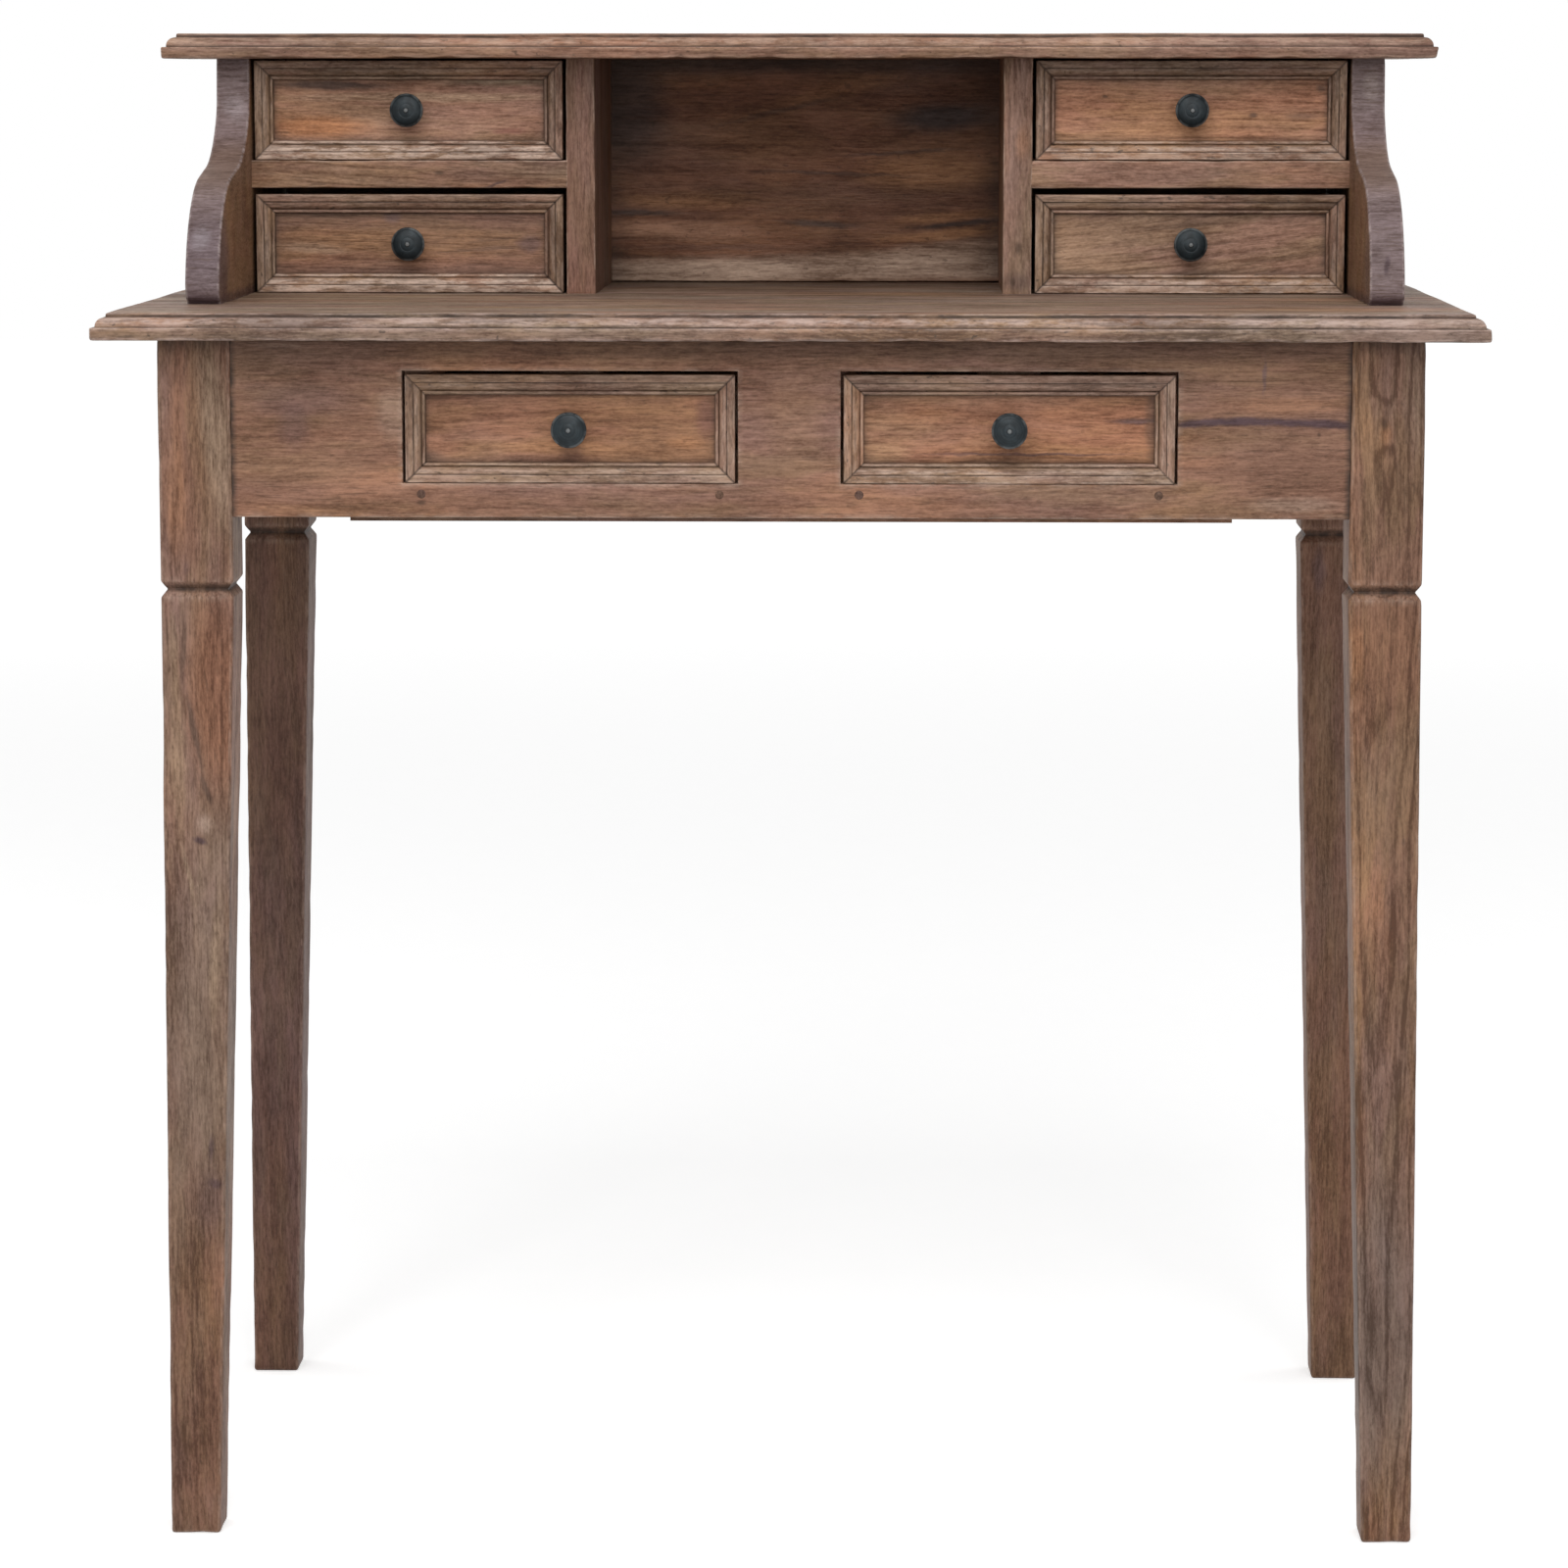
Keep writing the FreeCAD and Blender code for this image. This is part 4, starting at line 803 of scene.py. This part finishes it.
moulded_top("desk_top", wood(
    "desk_top", "x", (235, 154, 108), 3, fibre=1.35, cloud=1.5, figure=0.6, pits=0.8,
    cool=0.6, cool_tone=(205, 158, 126), wear_tone=(390, 290, 250), spacing=0.012,
    pith=(0.1, 0.6), marks=[
        ((150, 60, 804), (210, 10, ANY), 0, ORANGE, 0.4),
        ((-120, -40, 804), (240, 9, ANY), 0, ORANGE, 0.3),
        ((-300, -130, 804), (120, 7, ANY), 0, BROWN, 0.5),
        ((240, -150, 804), (150, 6, ANY), 0, BROWN, 0.45),
        ((60, 20, 804), (160, 12, ANY), 0, OLIVE, 0.5),
        # The brown patch at the back, under the top shelf, is painted shade.
        ((0, 150, 804), (150, 110, ANY), 0, BROWN, 0.35),
        ((0, -240, 790), (ANY, 3, 7), 0, BROWN, 0.35)]), 11)
moulded_top("top_shelf", wood(
    "shelf", "x", (245, 132, 83), 5, cloud=1.5, pits=0.7, cool=0.3,
    wear_tone=(390, 260, 195)), 23)

leg("leg_front_left", wood(
    "front_left_leg", "z", (154, 78, 46), 7, fibre=1.15, cloud=1.3, figure=0.45,
    pith=(-0.4, -0.17), tilt=(0.0, 0.015), spacing=0.005, wear=0.3, marks=on_face(
        FORE,
        (-365, 728, 14, 95, -6, (240, 165, 110), 0.65), (-392, 690, 9, 60, 0, ORANGE, 0.3),
        (-368, 556, 30, 100, -2, (190, 83, 45), 0.85),
        (-380, 330, 40, 170, 0, (155, 109, 81), 0.65),
        (-394, 520, 6.5, 110, -1.5, (240, 150, 90), 0.6), (-389, 588, 3, 38, 3, UMBER, 0.8),
        (-383, 534, 3.2, 36, -10, UMBER, 0.9), (-376, 496, 3, 16, -24, UMBER, 0.9),
        (-377, 474, 8, 9, 0, PALE, 0.55), (-380, 463, 7, 3.4, 20, CRACK, 0.8),
        (-388, 440, 3, 26, -12, (260, 175, 115), 0.6), (-377, 260, 3, 12, 3, CRACK, 0.6),
        (-374, 236, 7, 5, 20, CRACK, 0.6), (-386, 640, 3, 7, 0, CRACK, 0.3),
        (-372, 380, 5, 60, 3, (250, 165, 105), 0.5), (-378, 224, 12, 34, 3, PURPLE, 0.35))), 50)
leg("leg_front_right", wood(
    "front_right_leg", "z", (152, 81, 48), 9, fibre=1.1, cloud=1.2, figure=0.75,
    pith=(0.379, -0.166), tilt=(0.0, 0.02), spacing=0.004, wear=0.3,
    knots=[((734, 378.4, FORE), (0.5, 1, 0), 3.2, 4)], marks=on_face(
        FORE,
        (378, 728, 5, 12, 0, ORANGE, 0.4), (384.5, 606, 4.5, 12, 0, BROWN, 0.75),
        (362, 590, 6, 28, 0, ORANGE, 0.5), (394, 465, 1.8, 4, 0, BROWN, 0.8),
        (376, 520, 3, 60, 1, BROWN, 0.4), (382, 585, 40, 66, 0, (165, 74, 37), 0.5),
        (384, 150, 40, 150, 0, (112, 76, 62), 0.7))), 51)
leg("leg_back_left", wood(
    "back_left_leg", "z", (108, 55, 36), 12, figure=0.35, pith=(-0.38, 0.22),
    tilt=(0.0, 0.02), cool_tone=(105, 66, 62), warm_tone=(170, 82, 45), wear=0.25), 52)
leg("leg_back_right", wood(
    "back_right_leg", "z", (163, 84, 50), 14, figure=0.35, pith=(0.38, 0.22),
    tilt=(0.0, 0.02), cool_tone=(105, 66, 62), warm_tone=(200, 95, 50), wear=0.25,
    marks=on_face(AFT_START, (370, 600, 7, 24, 0, PURPLE, 0.6))), 53)

front_apron(wood(
    "front_apron", "x", (186, 95, 56), 16, figure=0.25, cloud=1.1, wear=0.7,
    pith=(-0.13, 0.65), tilt=(0.004, 0.012), cool_tone=(165, 98, 80),
    knots=[((-234.9, APRON_FACE, 681.4), (0.6, 0, 1), 2.6, 3),
           ((336, APRON_FACE, 724.5), (1, 0, 1), 1.8, 2)],
    marks=on_face(
        APRON_FACE,
        (318, 722, 64, 62, 0, (140, 74, 50), 0.35), (262, 733.4, 40, 3.6, -1.5, CRACK, 0.9),
        (296, 734.7, 48, 4.4, 0, CRACK, 0.9), (336, 733.2, 44, 4.0, 1.5, CRACK, 0.9),
        (301.4, 763, 1.8, 16, 3, PURPLE, 0.7), (318, 745, 66, 8, 0, ORANGE, 0.25),
        (322, 682, 40, 7, 0, PALE, 0.4), (-312, 748, 50, 16, 0, PURPLE, 0.4),
        (-316, 731, 15, 20, 0, PURPLE, 0.4), (-253, 738, 14, 24, 0, PALE, 0.3),
        (-318, 703, 70, 15, 0, (240, 140, 76), 0.3), (-324, 782, 24, 3, 0, PALE, 0.4),
        # The brown band across the top at 782 mm is painted shade under the desk top's overhang.
        (0, 782, ANY, 15, 0, BROWN, 0.55), (2, 735, 26, 46, 0, (230, 125, 70), 0.4))))
side_apron_wood = wood("side_apron", "y", HIDDEN_APRON, 18)
for hand, side in HANDS:
    plain_board(f"{hand}_apron", side_apron_wood, 0, 60 + side, shoulders=(1, FORE_END, AFT_START))
plain_board("back_apron", wood("back_apron", "x", HIDDEN_APRON, 19), 1, 65,
            shoulders=(0, -LEG_INNER, LEG_INNER))
pegs(wood("peg", "y", (85, 45, 30), 20, cool=0.1, warm=0.1, wear=0.2))

bracket_wood = wood(
    "bracket", "x", (215, 115, 62), 22, cool_tone=(130, 82, 55), warm=0.3,
    warm_tone=(260, 125, 55), wear_tone=(300, 240, 230), stretch=(60, 26, 420),
    figure=0.1, face_tone=(167, 124, 126), marks=[
        ((0, 0, 892), (ANY, ANY, 22), 0, (165, 100, 66), 0.6),
        # The dark band at the top of the brackets is painted shadow of the shelf.
        ((0, 0, 965), (ANY, ANY, 9), 0, (50, 33, 30), 0.4),
        ((-386, -100, 830), (60, 40, 52), 0, (98, 66, 76), 0.6),
        ((386, -100, 830), (60, 40, 52), 0, (110, 76, 80), 0.35),
        # The two pale streaks on the left bracket are painted highlights.
        ((-388, -110, 846), (9, ANY, 12), 20, (270, 230, 240), 0.4),
        ((-385, 40, 930), (10, ANY, 14), -20, (270, 220, 220), 0.45),
        ((388, 40, 944), (9, ANY, 14), 0, (290, 230, 210), 0.6),
        ((386, -112, 830), (3, ANY, 9), 12, CRACK, 0.75),
        ((0, 0, 805), (ANY, ANY, 7), 0, CRACK, 0.6)])
divider_tones = {"left": (158, 81, 53), "right": (210, 120, 76)}
middle_shelf_tones = {"left": (220, 122, 75), "right": (262, 148, 96)}
for hand, side in HANDS:
    bracket(hand, bracket_wood, 70 + side)
    plain_board(f"{hand}_divider", wood(
        f"{hand}_divider", "z", divider_tones[hand], 24, pith=(0.15, 0.02),
        knots=[((835, 150, HUTCH_FACE), (0.5, 1, 0), 3.0, 3),
               ((812, 147, HUTCH_FACE), (0.7, 1, 0), 2.4, 2)],
        marks=on_face(HUTCH_FACE, (152, 905, 7, 16, 4, ORANGE, 0.3),
                      (149, 812, 14, 9, 0, CRACK, 0.4))), 0, 75 + side, let_in=2)
    plain_board(f"{hand}_middle_shelf", wood(
        f"{hand}_middle_shelf", "x", middle_shelf_tones[hand], 26, cool=0.35,
        pith=(0.05, 0.86), knots=[((-246, HUTCH_FACE, 887), (0.5, 0, 1), 2.5, 4)],
        marks=on_face(HUTCH_FACE, (-208, 878, 14, 1.3, -20, CRACK, 0.7))), 2, 80 + side, let_in=0)

# A reach of 9 mm in depth keeps the marks of the bay off the back of the panel.
back_panel(wood(
    "back_panel", "x", (172, 68, 30), 38, fibre=0.8, cloud=1.5, figure=0.6,
    pith=(0.26, 0.93), tilt=(0.02, 0.03), spacing=0.014, cool_tone=(75, 38, 25),
    warm=0.8, warm_tone=(300, 130, 52), wear=0.3, rough=0.5, pits=0.4,
    marks=on_face(
        BACK_PANEL,
        (100, 922, 58, 16, -3, (30, 16, 14), 0.9), (132, 934, 20, 34, 0, DUSK, 0.15),
        (90, 884, 70, 20, -3, FLAME, 0.65), (20, 940, 66, 9, -14, FLAME, 0.4),
        (-20, 926, 70, 3, -13, DUSK, 0.5), (70, 897, 60, 2.2, -3, DUSK, 0.6),
        (20, 882, 90, 2.0, 2, DUSK, 0.55), (-126, 932, 40, 66, 0, (34, 19, 16), 0.8), deep=9)
    # The dark band along the top of the panel is partly its own colour and partly painted shadow of
    # the shelf.
    + on_face(BACK_PANEL, (0, 962, ANY, 13, 0, DUSK, 0.7))
    + on_face(
        BACK_PANEL,
        (-36, 906, 60, 26, 8, FLAME, 0.2), (-92, 862, 72, 7, 2, FLAME, 0.45),
        (-120, 853.5, 42, 3.4, 1, DUSK, 0.85), (10, 846, 40, 4, 3, DUSK, 0.8),
        (-96, 841, 84, 10, 1, (320, 160, 92), 0.85), (104, 851, 56, 5, -5, FLAME, 0.65),
        (112, 846, 48, 2.6, -5, DUSK, 0.9), (100, 838, 66, 6, -6, FLAME, 0.7),
        (92, 824, 90, 12, -7, (360, 240, 165), 0.65),
        (-64, 829, 95, 3.6, 0, (130, 55, 30), 0.75), deep=9)
    + on_face(BACK_PANEL, (0, 813, ANY, 15, -1.5, (440, 300, 215), 0.9))))

# The very pale worn tone also gives the lower strips their painted highlight.
moulding_wood = wood(
    "moulding", None, (210, 122, 78), 1, fibre=1.3, cloud=1.3, pits=0.8, rough=0.5,
    cool_tone=(172, 118, 90), wear=0.95, wear_tone=(460, 335, 265), stretch=(26, 520, 520))
iron = gunmetal("blackened_iron")
# Each drawer's tone, lean of the grain, wear and painted highlight of the moulding's lower strip,
# painted shade of the moulding's other strips, and marks.
panels = {
    "desk_drawer_left": ((220, 103, 56), 0, 0.65, 0.85, on_face(
        DESK_PANEL,
        (-53, 736, 10, 19, 0, (150, 66, 46), 0.8), (-229, 710, 13, 7, 0, BROWN, 0.6),
        (-150, 717, 60, 6, 0, ORANGE, 0.4), (-139, 713, 11, 11, 0, (115, 52, 34), 0.55),
        (-67, 720, 16, 6, 0, ORANGE, 0.5))),
    "desk_drawer_right": ((276, 124, 63), 0, 0.9, 0.5, on_face(
        DESK_PANEL,
        (222, 734.5, 26, 2.6, 0, PURPLE, 0.8), (230, 735, 6, 30, 0, BROWN, 0.6),
        (150, 713.4, 95, 1.4, 0, CRACK, 0.7), (141, 715, 11, 10, 0, (125, 56, 36), 0.45),
        (60, 714, 22, 8, 0, (340, 190, 100), 0.5))),
    "hutch_drawer_lower_left": ((176, 92, 58), 0, 1.45, 0.6, on_face(
        HUTCH_PANEL,
        (-279, 857, 9, 9, 0, PURPLE, 0.65), (-184, 838, 13, 9, 0, PURPLE, 0.65),
        (-320, 858, 30, 4, 0, BROWN, 0.7), (-333, 834, 36, 5, 4, (310, 200, 130), 0.55),
        (-215, 834, 34, 2, -4, BROWN, 0.6), (-212, 840, 30, 1.6, -6, BROWN, 0.5))),
    "hutch_drawer_lower_right": ((288, 163, 104), 6, 1.2, 0.6, on_face(
        HUTCH_PANEL,
        (262, 850, 60, 3, -6, BROWN, 0.45), (330, 828, 40, 2.5, -8, BROWN, 0.4))),
    "hutch_drawer_upper_left": ((340, 178, 106), 0, 1.5, 0.5, on_face(
        HUTCH_PANEL,
        (-330, 917, 50, 11, 0, (400, 165, 68), 0.8),
        (-255, 937, 130, 4.5, 0, (430, 280, 180), 0.75),
        (-320, 945, 60, 4.2, 1, (85, 46, 32), 0.95), (-205, 948, 60, 5, 0, (230, 160, 100), 0.7),
        (-198, 914, 18, 3, 0, (220, 85, 62), 0.7))),
    "hutch_drawer_upper_right": ((368, 176, 94), 0, 1.1, 0.5, on_face(
        HUTCH_PANEL,
        (309, 925, 5, 3, 0, BROWN, 0.9), (355, 943, 5, 4, 0, BROWN, 0.8),
        (342, 924, 16, 4, 0, BROWN, 0.55), (208, 938, 3, 2, 0, BROWN, 0.8))),
}
for number, (drawer, (tone, lean, lower_strip_highlight_and_wear, painted_shade, marks)) in enumerate(panels.items()):
    drawer_moulding(drawer, moulding_wood, 90 + 5 * number, lower_strip_highlight_and_wear, painted_shade)
    knob(drawer, iron)
    drawer_panel(drawer, wood(
        drawer + "_panel", "x", tone, 40 + 3 * number, figure=0.5, cool=0.3, warm=0.45,
        lean=lean, marks=marks, pith=(0.0, 0.68)), 30 + number)

box_wood = wood("drawer_box", "y", (280, 180, 110), 31, cool=0.2, warm=0.15, rough=0.7)
bottom_wood = wood("drawer_bottom", "x", (310, 210, 130), 33, cool=0.1, warm=0.1, rough=0.7)
inner_wood = wood("inner", "y", (200, 120, 80), 35, cool=0.2, rough=0.75)
bearer_wood = wood("bearer", "x", (170, 100, 70), 36, cool=0.2, rough=0.75)
finishes = {"joint_dowels": inner_wood, "drawer_guides": inner_wood, "drawer_kickers": inner_wood,
            "drawer_runners": inner_wood, "drawer_bearers": bearer_wood}
for drawer in panels:
    finishes |= {drawer + "_sides": box_wood, drawer + "_back": box_wood,
                 drawer + "_bottom": bottom_wood}
for node, finish in finishes.items():
    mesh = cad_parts[node].data
    mesh.materials.clear()
    mesh.materials.append(finish)


# -------- floor, light and camera

def floor():
    """A pale studio floor: matt and near white, so that the shadow under the desk stays on it."""
    mesh = bpy.data.meshes.new("floor")
    reach = 14.0
    mesh.from_pydata([(-reach, -reach, 0), (reach, -reach, 0), (reach, reach, 0),
                      (-reach, reach, 0)], [], [(0, 1, 2, 3)])
    f = Finish(bpy.data.materials.new("pale_floor"))
    places = f.add("TexCoord", {}, 3)
    speck = f.noise(places, (30, 30, 30), 2.0, 0.5)
    matt = f.add("BsdfDiffuse", {"Color": f.blend(speck, (800, 800, 800), (830, 830, 830))})
    glow = f.spread(f.vector("LENGTH", places, output=1), 1.5, 7.0, 0.46, 0.7)
    glow = f.times(f.seen(), glow)
    lift = f.add("Emission", {"Color": (1, 1, 1, 1), "Strength": glow})
    mesh.materials.append(f.close(f.add("AddShader", {0: matt, 1: lift})))
    placed("floor", mesh)


def area_light(name, place, aim, size, power):
    """A soft rectangular lamp that looks at a point."""
    lamp = bpy.data.lights.new(name, "AREA")
    lamp.shape = "RECTANGLE"
    lamp.size, lamp.size_y = size
    lamp.energy = power
    x, y, z = np.array(aim, float) - place
    holder = placed(name, lamp)
    holder.location = place
    holder.rotation_euler = (np.arctan2(np.hypot(x, y), -z), 0, np.arctan2(y, x) - pi / 2)


def studio():
    """White surroundings as the camera, metal and glass see them, and a plain soft light."""
    sky_level = 0.42
    world = bpy.data.worlds.new("studio")
    bpy.context.scene.world = world
    f = Finish(world)
    level = f.spread(f.seen(), 0.0, 1.0, sky_level, 1.0, smooth=False)
    f.close(f.add("Background", {"Color": (1, 1, 1, 1), "Strength": level}), "OutputWorld")
    area_light("front_lamp", (-0.3, -2.8, 2.3), (0, 0, 0.8), (2.4, 1.4), 34)
    area_light("low_lamp", (0.5, -3.6, 1.25), (0, 0, 0.85), (2.2, 1.4), 24)
    area_light("overhead_lamp", (0, -1.9, 3.1), (0, 0, 0.85), (2.2, 1.2), 34)
    for hand, side in HANDS:
        area_light(hand + "_fill_lamp", (side * 2.8, 1.0, 1.5), (0, 0, 0.6), (1.8, 1.6), 16)


def camera():
    """The viewing angle of a person who stands before the desk, a little to the right."""
    focal_pixels, frame_pixels, sensor = 4874.4, 1600, 36
    look_down, look_left = 8.46, 1.57
    lens = bpy.data.cameras.new("view")
    lens.lens = focal_pixels / frame_pixels * sensor
    lens.sensor_width = sensor
    lens.clip_end = 60
    holder = placed("view", lens)
    holder.location = (79.9 * MM, -3240 * MM, 953.1 * MM)
    holder.rotation_euler = (radians(90 - look_down), 0, radians(look_left))
    bpy.context.scene.camera = holder


floor()
studio()
camera()
bpy.context.scene.view_settings.view_transform = "Standard"
